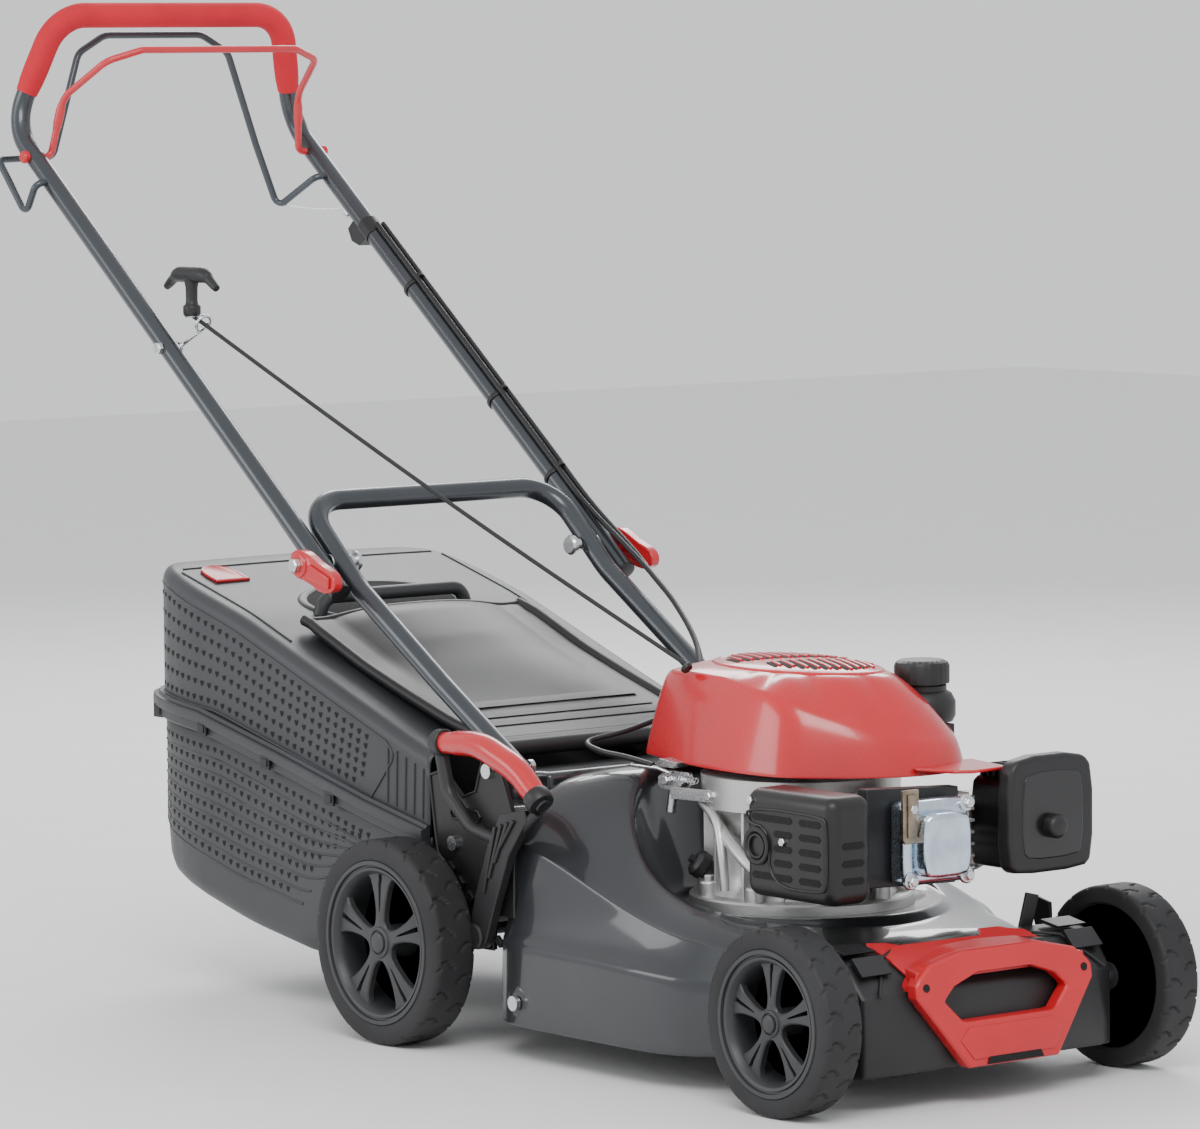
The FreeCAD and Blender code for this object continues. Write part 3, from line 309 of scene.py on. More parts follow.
def prism(name, outline, axis, low, high):
    """An outline in mm on the plane across an axis, pushed from low to high along it."""
    def place(a, b, c):
        return {"Y": at(a, c, b), "Z": at(a, b, c), "X": at(c, a, b)}[axis]
    rings = [[place(a, b, low) for a, b in outline], [place(a, b, high) for a, b in outline]]
    return loft(name, rings, True, (True, True))


def slab(name, outline, axis, one, other):
    """A prism whose two ends may be given in either order."""
    return prism(name, outline, axis, min(one, other), max(one, other))


def brick(name, low, high):
    """A block between two corners in mm."""
    outline = [(low[0], low[2]), (high[0], low[2]), (high[0], high[2]), (low[0], high[2])]
    return prism(name, outline, "Y", low[1], high[1])


def frame_of(axis):
    """An axis and two directions across it."""
    axis = Vector(axis).normalized()
    helper = Vector((0, 0, 1)) if abs(axis.z) < 0.9 else Vector((1, 0, 0))
    across = axis.cross(helper).normalized()
    return axis, across, axis.cross(across)


def lathe(name, profile, centre, axis, steps=64, phase=0.0):
    """A profile of (radius, distance along the axis), in mm, turned about the axis."""
    along, u, v = frame_of(axis)
    rings = []
    for radius, run in profile:
        ring = []
        for k in range(steps):
            turn = 2 * math.pi * k / steps + phase
            out = u * math.cos(turn) + v * math.sin(turn)
            ring.append(centre + along * (run / 1000) + out * (radius / 1000))
        rings.append(ring)
    return loft(name, rings, True, (profile[0][0] > 0.01, profile[-1][0] > 0.01))


def stud(name, centre, axis, radius, height, chamfer=1.0, dome=1.0, sides=6):
    """A nut, screw head or boss: a short bar with a chamfered end, in mm."""
    top = height + dome
    return lathe(name, [(radius, 0), (radius, height), (radius - chamfer, top), (0, top)], centre, axis,
        sides)


def sweep(name, points, radius, sides=20, caps=True):
    """A round bar through the points."""
    rings = []
    along = (points[1] - points[0]).normalized()
    _, u, _ = frame_of(along)
    for k, point in enumerate(points):
        ahead = points[min(k + 1, len(points) - 1)] - points[max(k - 1, 0)]
        along = ahead.normalized()
        u = (u - along * u.dot(along)).normalized()
        v = along.cross(u)
        size = (radius(k / (len(points) - 1)) if callable(radius) else radius) / 1000
        rings.append([point + (u * math.cos(t) + v * math.sin(t)) * size
                      for t in (2 * math.pi * s / sides for s in range(sides))])
    return loft(name, rings, True, (caps, caps))


def bent(points, radii, steps=8):
    """Straight runs of a bar joined by arcs, as it comes from the bender."""
    path = [points[0]]
    for k, radius in enumerate(radii, start=1):
        into, out = (points[k] - points[k - 1]).normalized(), (points[k + 1] - points[k]).normalized()
        half = into.angle(out) / 2
        if half < 1e-3:
            continue
        reach = radius / 1000 * math.tan(half)
        inward = (out - into).normalized()
        centre = points[k] + inward * (radius / 1000 / math.cos(half))
        first, last = points[k] - into * reach - centre, points[k] + out * reach - centre
        for s in range(steps + 1):
            path.append(centre + first.slerp(last, s / steps).normalized() * (radius / 1000))
    path.append(points[-1])
    return path


def thirds(points):
    """The same line with each step cut in three."""
    fine = []
    for a, b in zip(points, points[1:]):
        fine += [a.lerp(b, t / 3) for t in range(3)]
    return fine + [points[-1]]


def both(points):
    """Right-hand points, then their mirror images in reverse."""
    return points + [Vector((p.x, -p.y, p.z)) for p in reversed(points)]


def lerp_table(table, x):
    """Linear reading of a table of (x, value) pairs with rising x."""
    if x <= table[0][0]:
        return table[0][1]
    for (x0, v0), (x1, v1) in zip(table, table[1:]):
        if x <= x1:
            return v0 + (v1 - v0) * (x - x0) / (x1 - x0)
    return table[-1][1]


def smooth_closed(outline, times=2):
    """Corner cutting on a closed outline."""
    for _ in range(times):
        cut = []
        for k, (a, b) in enumerate(outline):
            c, d = outline[(k + 1) % len(outline)]
            cut += [(a * 0.75 + c * 0.25, b * 0.75 + d * 0.25), (a * 0.25 + c * 0.75, b * 0.25 + d * 0.75)]
        outline = cut
    return outline


# ---------------------------------------------------------------- deck
CRANK_X = 350
# Half sections from the rear middle round to the front middle, each (x, y, z) at the lower edge, the skirt's
# top, the wall's foot, the crest, the slope's top and the bowl's edge.
STATIONS = [
    [(104, 0, 40), (105, 0, 128), (108, 0, 150), (112, 0, 272), (122, 0, 284), (196, 0, 290)],
    [(104, 150, 40), (105, 150, 128), (108, 150, 150), (112, 150, 250), (124, 140, 280), (200, 50, 290)],
    [(110, 196, 38), (110, 196, 118), (112, 194, 134), (120, 197, 222), (140, 160, 274), (216, 84, 290)],
    [(150, 225, 36), (151, 222, 118), (158, 206, 130), (166, 201, 212), (184, 158, 268), (218, 104, 276)],
    [(212, 226, 36), (212, 223, 118), (218, 207, 130), (222, 200, 196), (230, 164, 236), (246, 132, 240)],
    [(270, 226, 36), (270, 223, 118), (272, 208, 128), (274, 199, 178), (280, 170, 200), (290, 150, 202)],
    [(330, 226, 36), (330, 223, 116), (331, 209, 126), (330, 198, 160), (332, 174, 178), (336, 154, 180)],
    [(385, 225, 36), (385, 221, 114), (384, 208, 124), (380, 197, 149), (380, 174, 166), (382, 145, 169)],
    [(428, 214, 36), (427, 209, 110), (425, 200, 122), (420, 190, 142), (418, 170, 154), (422, 128, 160)],
    [(460, 186, 38), (459, 183, 108), (457, 176, 120), (453, 168, 134), (450, 152, 148), (458, 104, 156)],
    [(505, 180, 40), (504, 177, 106), (502, 170, 118), (499, 162, 130), (495, 148, 144), (484, 72, 154)],
    [(541, 150, 42), (540, 147, 106), (538, 141, 118), (534, 134, 132), (529, 122, 144), (496, 38, 153)],
    [(559, 104, 42), (558, 102, 108), (556, 98, 120), (551, 92, 134), (545, 84, 145), (500, 14, 152)],
    [(560, 0, 42), (559, 0, 108), (557, 0, 120), (552, 0, 134), (546, 0, 145), (501, 0, 152)],
]


def deck_ring(level):
    """One level of the deck's sections, all the way round."""
    half = [column[level] for column in STATIONS]
    return [at(x, -y, z) for x, y, z in half] + [at(x, y, z) for x, y, z in reversed(half[1:-1])]


def bowl_ring(radius, height, pull):
    """The bowl's lower rings, round the crankshaft, on the same spokes as the crest."""
    ring = []
    for point in deck_ring(5):
        centre = at(CRANK_X, 0, 0)
        away = Vector((point.x - centre.x, point.y, 0)).normalized() * (radius / 1000)
        spot = Vector((centre.x + away.x, away.y, height / 1000))
        ring.append(spot.lerp(point, pull))
    return ring


rings = [deck_ring(0), deck_ring(0), deck_ring(1), deck_ring(2), deck_ring(3), deck_ring(4), deck_ring(5)]
rings[1] = [p + Vector((0, 0, 0.006)) for p in rings[1]]
rings.insert(2, [a.lerp(b, 0.93) for a, b in zip(rings[1], rings[2])])
crest = 5
before = [a.lerp(b, 0.93) for a, b in zip(rings[crest - 1], rings[crest])]
after = [a.lerp(b, 0.08) - Vector((0, 0, 0.0015)) for a, b in zip(rings[crest], rings[crest + 1])]
rings[crest] = [p + Vector((0, 0, 0.0015)) for p in rings[crest]]
rings.insert(crest + 1, after)
rings.insert(crest, before)
rings += [bowl_ring(147, 160, 0.85), bowl_ring(144, 160, 0.5), bowl_ring(140, 164, 0.1),
    bowl_ring(136, 161, 0.0),
          bowl_ring(126, 160, 0.0), bowl_ring(104, 160, 0.0)]
deck = finish(loft("deck_pressing", rings), "chassis", "deck_paint", ["deck"], sub=2, wall=2.2)

chute_side = [(13, 178), (13, 262), (24, 270), (60, 277), (130, 280), (130, 178)]
chute = prism("deck_chute", chute_side, "Y", -146, 146)
finish(chute, "chassis", "deck_paint", bevel=7, segments=4)
for s in (-1, 1):
    cheek = slab("deck_cheek_%s" % ("right" if s < 0 else "left"),
                  [(13, 178), (13, 246), (60, 249), (134, 249), (134, 178)], "Y", s * 140, s * 195)
    finish(cheek, "chassis", "deck_paint", bevel=9, segments=4)
    boss = lathe("skirt_boss_%s" % ("right" if s < 0 else "left"),
                 [(17, 0), (17, 1.2), (14, 2.6), (9.5, 3.2), (0, 3.2)], at(176, s * 221.5, 60), (0, s, 0), 40)
    finish(boss, "chassis", "deck_paint")


# ---------------------------------------------------------------- engine cover
COVER_PLAN = [(150, -48), (212, -70), (302, -93), (398, -96), (438, -80), (474, -40), (500, 4), (505, 45),
              (496, 88), (466, 114), (424, 144), (300, 156), (190, 122), (146, 60)]
HOOD_X, HOOD_Y, HOOD_A, HOOD_B = 318, 24, 108, 62
CAP_X, CAP_Y = 405, 112
COVER_FOOT, VENT_Z = 296, 391
SHOULDER = [(-180, 376), (-157, 380), (-138, 384), (-98, 384), (-56, 376), (-41, 366), (-22, 350), (-6, 337),
            (6, 332), (20, 330), (31, 332), (49, 340), (98, 362), (143, 372), (168, 376), (180, 376)]
TOP = [(0.97, 391.5), (0.9, 394), (0.75, 396), (0.55, 397.5), (0.3, 398.4), (0.1, 398.6)]


def hood_edge(turn, scale=1.0):
    """A point on the vent oval in a direction from its middle."""
    reach = scale / math.hypot(math.cos(turn) / HOOD_A, math.sin(turn) / HOOD_B)
    return Vector((HOOD_X + reach * math.cos(turn), HOOD_Y + reach * math.sin(turn)))


def flutes(turn, u):
    """Height of the soft finger ridges on the hood's front right."""
    if not -88 < turn < 22:
        return 0.0
    fade = math.sin(math.pi * (turn + 88) / 110) ** 0.6
    return fade * math.sin(math.pi * u) ** 0.8 * (5.5 * abs(math.sin(math.pi * (turn + 88) / 27.5)) - 3.0)


def cover_rings():
    """The hood from its foot over the shoulder to the vent oval."""
    plan = []
    for x, y in smooth_closed(COVER_PLAN, 3):
        turn = math.atan2(y - HOOD_Y, x - HOOD_X)
        plan.append((Vector((x, y)), turn, lerp_table(SHOULDER, math.degrees(turn))))
    rings = []
    for share, tuck in ((0.0, 1.5), (0.01, 0.2), (0.03, 0), (0.2, 0), (0.45, 0), (0.7, 0.6), (0.88, 2.0),
        (1.0, 5.0)):
        ring = []
        for spot, turn, top in plan:
            z = COVER_FOOT + share * (top - COVER_FOOT)
            ring.append((spot - Vector((math.cos(turn),
                math.sin(turn))) * (0.26 * (z - COVER_FOOT) + tuck), z))
        rings.append(ring)
    edge = rings[-1]
    for u in (0.06, 0.14, 0.26, 0.4, 0.55, 0.7, 0.84, 0.94, 1.0):
        ring = []
        for (spot, low), (_, turn, _) in zip(edge, plan):
            flat = spot.lerp(hood_edge(turn), u)
            z = low + (VENT_Z - low) * (1 - (1 - u) ** 1.7)
            scoop = math.exp(-((flat - Vector((CAP_X, CAP_Y + 6))).length / 33) ** 2)
            ring.append((flat, z + flutes(math.degrees(turn), u) - 30 * scoop * (1 - u ** 3)))
        rings.append(ring)
    for scale, z in TOP:
        rings.append([(hood_edge(turn, scale), z) for _, turn, _ in plan])
    return [[at(flat.x, flat.y, z) for flat, z in ring] for ring in rings]


crown = loft("engine_cover_shell", cover_rings(), True, (False, True))
finish(crown, "chassis", "red_gloss", ["engine_cover"], sub=1, wall=2.4)


def drop_to(obj, x, y, top=0.6):
    """The surface straight below a point: (height in mm, normal)."""
    graph = bpy.context.evaluated_depsgraph_get()
    spot = at(x, y, 0)
    hit, place, normal, _ = obj.evaluated_get(graph).ray_cast(Vector((spot.x, spot.y, top)),
        Vector((0, 0, -1)))
    return (place.z * 1000, normal) if hit else (None, None)


bpy.context.view_layer.update()


def on_cover(x, y, lift=0.0):
    """A point lying on the hood."""
    z, _ = drop_to(crown, x, y)
    return at(x, y, (z if z is not None else 380) + lift)


frame_rings = []
for scale, lift in ((1.035, -0.8), (1.02, 1.4), (0.99, 2.2), (0.965, 1.6), (0.945, -0.4)):
    turns = [2 * math.pi * k / 96 for k in range(96)]
    frame_rings.append([on_cover(*hood_edge(turn, scale), lift) for turn in turns])
finish(loft("vent_frame", frame_rings), "chassis", "red_gloss", sub=1)

# long slots across the oval, in two groups with a plain stripe between them; each slot is a near-black strip
# of painted shade laid on the hood, not an opening
ALONG_SLOT, ACROSS_SLOT = Vector((0.94, -0.34)), Vector((0.34, 0.94))
slots, bars = [], []
for k in range(-6, 7):
    for first, last in ((-110, -2), (18, 110)):
        run = []
        for step in range(first, last, 2):
            spot = Vector((HOOD_X, HOOD_Y)) + ALONG_SLOT * (step + 1.4 * k) + ACROSS_SLOT * k * 9.4
            if ((spot.x - HOOD_X) / (HOOD_A - 13)) ** 2 + ((spot.y - HOOD_Y) / (HOOD_B - 11)) ** 2 < 1:
                run.append(spot)
        if len(run) > 8:
            verts = []
            for i, spot in enumerate(run):
                half = 2.5 * min(1.0, (min(i, len(run) - 1 - i) + 1) / 3)
                for side in (1, -1):
                    verts.append(on_cover(*(spot + ACROSS_SLOT * half * side), 0.5))
            faces = [(2 * i, 2 * i + 1, 2 * i + 3, 2 * i + 2) for i in range(len(run) - 1)]
            slots.append(outward(new_object("slot", verts, faces)))
            line = [on_cover(*(spot + ACROSS_SLOT * 4.7), 0.2) for spot in run[1:-1:3]]
            bars.append(sweep("bar", line, 1.9, 8))
finish(join("vent_slots", slots), "chassis", "painted_shade", sharp=0)
finish(join("vent_bars", bars), "chassis", "red_gloss", sharp=60)
visor = loft("cover_visor", [[at(x, y, z) for x, y in ((488, 20), (506, 14), (546, 28), (556, 44),
    (552, 92), (482, 108))]
                             for z in (302, 305.5)], True, (True, True))
finish(visor, "chassis", "red_gloss", bevel=1.5)
ferrule = lathe("rope_ferrule", [(3, -2), (5.4, -2), (6.2, 0), (6.2, 1.6), (5, 2.8), (3.2, 2.8), (3, 1)],
                at(247, -61, 389), (-0.75, -0.1, 0.62), 28)
finish(ferrule, "chassis", "black_plastic")

# fuel cap with grips, on its neck
cap_profile = [(21, 0), (27.5, 0), (28, 1.5), (28, 17), (26.5, 20.5), (22, 23), (10, 24), (0, 24)]
cap_base = at(CAP_X, CAP_Y, 374.4)
cap = lathe("fuel_cap_body", cap_profile, cap_base, (0, 0, 1), 72)
for vert in cap.data.vertices:
    rel = vert.co - cap_base
    flat = math.hypot(rel.x, rel.y)
    if flat > 0.024 and rel.z > 0.001:
        turn = math.atan2(rel.y, rel.x)
        grip = 1 - 0.035 * (0.5 + 0.5 * math.cos(24 * turn))
        vert.co.x, vert.co.y = cap_base.x + rel.x * grip, cap_base.y + rel.y * grip
finish(cap, "fuel_cap", "black_plastic", ["fuel_cap"], sharp=28)
collar = lathe("fuel_neck_collar", [(30, 0), (33, 6), (33, 20), (29, 28), (24, 31), (24, 36), (21, 37.5)],
               at(CAP_X, CAP_Y + 1, 336), (0, 0, 1), 56)
finish(collar, "chassis", "black_plastic")

# silencer guard: pressed box with rounded edges, slots and a round outlet
GUARD_X, GUARD_Y, OUTLET_X, OUTLET_Z = (442, 571), (-152, -98), 463, 240
shell = brick("guard_box", (GUARD_X[0], GUARD_Y[0], 190), (GUARD_X[1], GUARD_Y[1], 295))
finish(shell, "chassis", "guard_black", ["muffler_guard"], bevel=13, segments=6)


def guard_slot(left, right, z, face):
    """A dark rounded slab on the guard's side or front: painted shade standing in for a slot."""
    half = 3.4
    outline = [(left, z), (left + half, z - half), (right - half, z - half), (right, z),
        (right - half, z + half),
               (left + half, z + half)]
    low, high = (GUARD_Y[0] - 0.5, GUARD_Y[0] + 1.5) if face == "Y" else (GUARD_X[1] - 1.5, GUARD_X[1] + 0.5)
    return prism("guard_slot", outline, face, low, high)


# near-black slabs of painted shade where the guard's slots show the dark inside
dark = []
for k, z in enumerate((212, 226, 240, 254, 268)):
    dark.append(guard_slot(523, 556, z, "Y"))
    dark.append(guard_slot(454 if k in (0, 4) else 486, 514, z, "Y"))
for z in (214, 231, 248):
    dark.append(guard_slot(-139, -110, z, "X"))
finish(join("guard_slots", dark), "chassis", "painted_shade", sharp=30)
corner_line = smooth_closed([(480, 203), (558, 203), (564, 210), (564, 270), (558, 277), (448, 277),
    (446, 262),
                             (480, 258)], 2)
rail = sweep("guard_rail", [at(x, GUARD_Y[0] - 0.1, z) for x, z in corner_line + corner_line[:1]], 1.5,
    10, False)
finish(rail, "chassis", "guard_black")
ring = lathe("outlet_ring", [(18.5, -1), (18.5, 2.4), (17, 3.4), (14.5, 3.2), (12.5, 1.0), (12.2, -6)],
             at(OUTLET_X, GUARD_Y[0] - 0.5, OUTLET_Z), (0, -1, 0), 48)
finish(ring, "chassis", "guard_black")
pipe_out = lathe("outlet_pipe", [(12, 0), (12, 17), (10, 17), (10, 0)], at(OUTLET_X, -138, OUTLET_Z),
    (0, -1, 0), 40)
finish(pipe_out, "chassis", "guard_black", ["muffler"])
# a near-black disc of painted shade down inside the outlet pipe
well = lathe("outlet_dark", [(10, 0), (0, 0)], at(OUTLET_X, -146, OUTLET_Z), (0, -1, 0), 40)
finish(well, "chassis", "painted_shade")
screws = [lathe("gs", [(4.5, 0), (4.5, 2.2), (3.6, 3.0), (0, 3.0)], at(x, GUARD_Y[0], z), (0, -1, 0), 6)
          for x, z in ((500, 247), (452, 283))]
finish(join("guard_screws", screws), "chassis", "zinc", bevel=0.3)

# valve cover: domed lid, raised panel and four corner bosses
lid = brick("valve_lid", (545, -58, 201), (571, 26, 283))
finish(lid, "chassis", "blue_zinc", ["valve_cover"], bevel=8, segments=5)
panel = prism("valve_panel", smooth_closed([(-48, 216), (-48, 266), (-40, 272), (4, 272), (12, 266),
    (12, 216),
                                            (4, 210), (-40, 210)], 1), "X", 570, 590)
finish(panel, "chassis", "blue_zinc", bevel=5, segments=4)
bosses = []
for y, z in ((-52, 207), (20, 207), (-52, 277), (20, 277)):
    bosses.append(stud("vb", at(570, y, z), (1, 0, 0), 8.5, 3, 1.5, sides=24))
    bosses.append(stud("vb", at(573.5, y, z), (1, 0, 0), 5.2, 4))
finish(join("valve_bosses", bosses), "chassis", "zinc", bevel=0.3)

# air filter box: rounded case, flange and ribs
CASE = [(80, 206), (80, 286), (92, 296), (166, 296), (180, 284), (180, 214), (168, 204), (92, 204)]
FLANGE = [(73, 208), (73, 300), (88, 316), (170, 316), (186, 300), (186, 210), (172, 200), (86, 200)]
FACE = [(90, 222), (90, 290), (100, 300), (160, 300), (170, 290), (170, 222), (160, 214), (100, 214)]
for name, outline, back_x, front_x, mat, edge, segments in (
        ("filter_case", CASE, 510, 562, "black_gloss", 6, 4), ("filter_flange", FLANGE, 556, 576,
            "black_plastic", 5, 4),
        ("filter_face", FACE, 574, 577, "black_gloss", 1.4, 3)):
    finish(prism(name, smooth_closed(outline, 1), "X", back_x, front_x), "chassis", mat,
           ["air_filter_box"] if name == "filter_case" else (), bevel=edge, segments=segments)
fins = [prism("ff", [(512 + 9 * k, 292), (515 + 9 * k, 292), (515 + 9 * k, 305), (512 + 9 * k, 303)], "Y",
    92, 168)
        for k in range(6)]
finish(join("filter_ribs", fins), "chassis", "black_gloss", bevel=0.8)
knob = lathe("filter_knob_body", [(12, 0), (12, 9), (10.5, 12), (7, 14), (0, 14)], at(576.6, 128, 246),
    (1, 0, 0), 40)
finish(knob, "air_filter_knob", "black_plastic", ["air_filter_knob"])

# crankcase: round casting with a machined flange, ribs and bolt bosses
case_profile = [(112, 0), (112, 9), (110, 11), (96, 12), (90, 20), (86, 34), (86, 84), (90, 92), (98, 98),
    (100, 130)]
body = lathe("crankcase_casting", case_profile, at(CRANK_X, 0, 160), (0, 0, 1), 96)
finish(body, "chassis", "cast_alu", ["crankcase"], sharp=30)
extras = []
for k in range(9):
    turn = math.radians(40.0 * k + 12)
    spot = at(CRANK_X + 99 * math.cos(turn), 99 * math.sin(turn), 160)
    extras.append(stud("lug", spot, (0, 0, 1), 10, 24, 1.5, 2, 20))
    extras.append(stud("bolt", spot + Vector((0, 0, 0.026)), (0, 0, 1), 6, 5))
for k in range(14):
    turn = math.radians(25.7 * k)
    out = Vector((math.cos(turn), math.sin(turn), 0))
    across = Vector((-out.y, out.x, 0)) * 0.0016
    base = at(CRANK_X, 0, 0)
    low, high = base + out * 0.086, base + out * 0.097
    verts = [low - across, high - across, high + across, low + across]
    rings_ = [[Vector((v.x, v.y, z)) for v in verts] for z in (0.172, 0.262)]
    extras.append(loft("rib", rings_, True, (True, True)))
finish(join("crankcase_bosses", extras), "chassis", "cast_alu", bevel=0.5)
DIP = Vector((-0.36, -0.72, 0.59)).normalized()
foot = at(318, -72, 182)
tube = lathe("filler_spout", [(15, -6), (15, 4), (10.5, 8), (10.5, 24), (12, 26)], foot, DIP, 32)
finish(tube, "chassis", "black_plastic")
grip = lathe("dipstick_cap", [(13.5, 0), (13.8, 2), (13.8, 9), (11, 12), (7, 13), (0, 13)],
    foot + DIP * 0.0265, DIP, 32)
wing = lathe("dipstick_wing", [(4.2, 0), (4.2, 5.5), (0, 6)], foot + DIP * 0.0385, DIP, 16)
finish(join("dipstick_grip", [grip, wing]), "dipstick", "black_plastic", ["dipstick"])


# ---------------------------------------------------------------- wheels
SIPES = 20


def groove(turn, t):
    """Depth of the curved sipes, 0 to 1, at an angle and a place across the tread (-1 to 1)."""
    reach = abs(t)
    if reach < 0.12:
        return 0.0
    step = turn * SIPES / (2 * math.pi) + (0.5 if t < 0 else 0.0)
    centre = 0.5 + 0.24 * math.sin(math.pi * (1.0 - reach) * 1.15) - (0.12 if reach > 0.8 else 0.0)
    off = abs((step - centre + 0.5) % 1.0 - 0.5)
    return max(0.0, 1.0 - (off / 0.062) ** 2)


def build_tyre(tag, centre, side, radius, bore, width):
    """A tyre with curved sipes, turned section by section."""
    half = width / 2
    steps = 600
    across = [1.0, 0.93, 0.84, 0.72, 0.58, 0.44, 0.3, 0.16, 0.05]
    across += [-t for t in reversed(across)]
    rings = []
    for k in range(steps):
        turn = 2 * math.pi * k / steps
        shape = [(bore + 0.3, half - 5), (bore + 0.5, half - 0.6), (bore + 3, half), (radius - 9, half),
                 (radius - 6, half - 0.8)]
        for t in across:
            drop = 3.4 if abs(t) > 0.95 else 1.3 if abs(t) > 0.9 else 0.4 if abs(t) > 0.8 else 0.0
            shape.append((radius - drop - 2.2 * groove(turn, t), t * (half - 1.2)))
        shape += [(radius - 6, -half + 0.8), (radius - 9, -half), (bore + 3, -half), (bore + 0.3, -half + 3)]
        out = Vector((math.cos(turn), 0, math.sin(turn)))
        rings.append([centre + out * (r / 1000) + Vector((0, side * run / 1000, 0)) for r, run in shape])
    rings.append(rings[0])
    tyre = loft("tyre_body_" + tag, rings, True)
    bm = bmesh.new()
    bm.from_mesh(tyre.data)
    bmesh.ops.remove_doubles(bm, verts=bm.verts, dist=1e-6)
    bmesh.ops.recalc_face_normals(bm, faces=bm.faces)
    bm.to_mesh(tyre.data)
    bm.free()
    return finish(tyre, "wheel_" + tag, "tyre_rubber", ["tyre_" + tag], sharp=40)


# spoke outline out from the hub: reach, half width and half slot as shares of the rim, slot is 0 where solid
SPOKES = 5
SPOKE = [(0.19, 0.19, 0), (0.24, 0.135, 0), (0.31, 0.1, 0), (0.42, 0.098, 0), (0.46, 0.102, 0.012),
         (0.58, 0.125, 0.02), (0.70, 0.155, 0.026), (0.82, 0.2, 0.032), (0.9, 0.25, 0.036),
             (0.97, 0.34, 0.038),
         (1.02, 0.4, 0.02)]


def build_rim(tag, centre, side, bore, width):
    """A five-spoke wheel: rim, split spokes and hub cap."""
    half = width / 2
    inner = bore - 13
    face = half - 6
    ring = [(bore + 0.2, -half + 7), (bore + 0.2, half - 1), (bore - 0.6, half + 0.6),
        (bore - 4.6, half + 0.6),
            (bore - 5.2, half - 2.4), (bore - 7.0, half - 2.8), (bore - 7.6, half - 1.0),
                (bore - 10.5, half - 1.8),
            (inner - 1, face - 0.5), (inner - 2.5, face - 8), (inner - 2, -half + 12), (bore - 3, -half + 7)]
    ring.append(ring[0])
    parts = [lathe("rim_ring", ring, centre, (0, side, 0), 96)]
    for k in range(SPOKES):
        turn = math.radians(90 + 360 / SPOKES * k)
        out, around = Vector((math.cos(turn), 0, math.sin(turn))), Vector((-math.sin(turn), 0,
            math.cos(turn)))
        for sign in (1, -1):
            sections = []
            for r, wide, slot in SPOKE:
                lift = face - 1.6 + 2.6 * (1 - r) ** 2 + (0.8 if 0.3 < r < 0.9 else 0)
                low = lift - 7.5
                edge = sign * wide * inner
                gap = sign * slot * inner
                centre_lift = lift + (0.0 if slot else 0.6)
                def spot(v, height):
                    return centre + out * (r * inner / 1000) + around * (v / 1000) + Vector((0,
                        side * height / 1000, 0))
                sections.append([spot(gap, centre_lift), spot(edge - sign * 1.4, lift),
                    spot(edge, lift - 1.4),
                                 spot(edge, low), spot(gap, low)])
            parts.append(loft("spoke", sections, True, (True, True)))
    hub = inner * 0.235
    cap = inner * 0.15
    lid = face + 2.4
    parts.append(lathe("hub", [(hub, -half + 4), (hub, face - 1), (hub - 1.2, lid - 0.6), (hub - 2.4, lid),
                               (cap + 2.2, lid), (cap + 1.2, lid - 1.6), (cap, lid - 1.4),
                                   (cap - 0.5, lid + 1.0),
                               (cap - 1.6, lid + 1.6), (0, lid + 1.9)], centre, (0, side, 0), 48))
    return finish(join("rim_" + tag, parts), "wheel_" + tag, "wheel_plastic", ["wheel_" + tag], sharp=32)


for tag, side, x, y, z, radius, bore, width in (
        ("rear_right", -1, 0, -245, 105, 105, 84, 50), ("rear_left", 1, 0, 245, 105, 105, 84, 50),
        ("front_right", -1, 578.5, -218.5, 90, 90, 71, 45), ("front_left", 1, 578.5, 218.5, 90, 90, 71, 45)):
    build_tyre(tag, at(x, y, z), side, radius, bore, width)
    build_rim(tag, at(x, y, z), side, bore, width)


# ---------------------------------------------------------------- grass catcher
TOP_EDGE = [(-540, 452), (-505, 452), (-485, 450), (-341, 411), (-180, 354), (-37, 304), (4, 292)]
RIM_LINE = [(-548, 308), (-523, 306), (-375, 292), (-247, 261), (-132, 233), (-73, 221), (4, 206)]
BASE_LINE = [(-540, 150), (-514, 135), (-500, 118), (-338, 78), (-211, 58), (-130, 92), (-60, 150), (4, 176)]
HALF_WIDTH = [(-540, 132), (-532, 150), (-518, 168), (-500, 181), (-480, 190), (-450, 197), (-420, 200),
    (10, 200)]


def smooth_table(table, x, reach=16):
    """A table's value averaged over a short stretch."""
    return sum(lerp_table(table, x + reach * k / 3) for k in range(-3, 4)) / 7


def catcher_ring(x, low, high, inset, lean):
    """One cross-section from the right lower edge over the top to the left."""
    half = lerp_table(HALF_WIDTH, x) - inset
    corner = 15.0
    right = [(half, low + (high - low) * t) for t in (0, 0.15, 0.35, 0.6, 0.85)]
    right = [(w, min(z, high - corner)) for w, z in right]
    arc = [(half - corner + corner * math.cos(a), high - corner + corner * math.sin(a))
           for a in (math.radians(10 * k) for k in range(0, 10))]
    flat = [(half * t, high + 1.6 * (1 - t * t)) for t in (0.85, 0.6, 0.3)]
    line = right + arc + flat
    points = [(-w, z) for w, z in line] + [(0, high + 1.6)] + [(w, z) for w, z in reversed(line)]
    return [at(x + lean * (1 - (z - low) / (high - low)), w, z) for w, z in points]


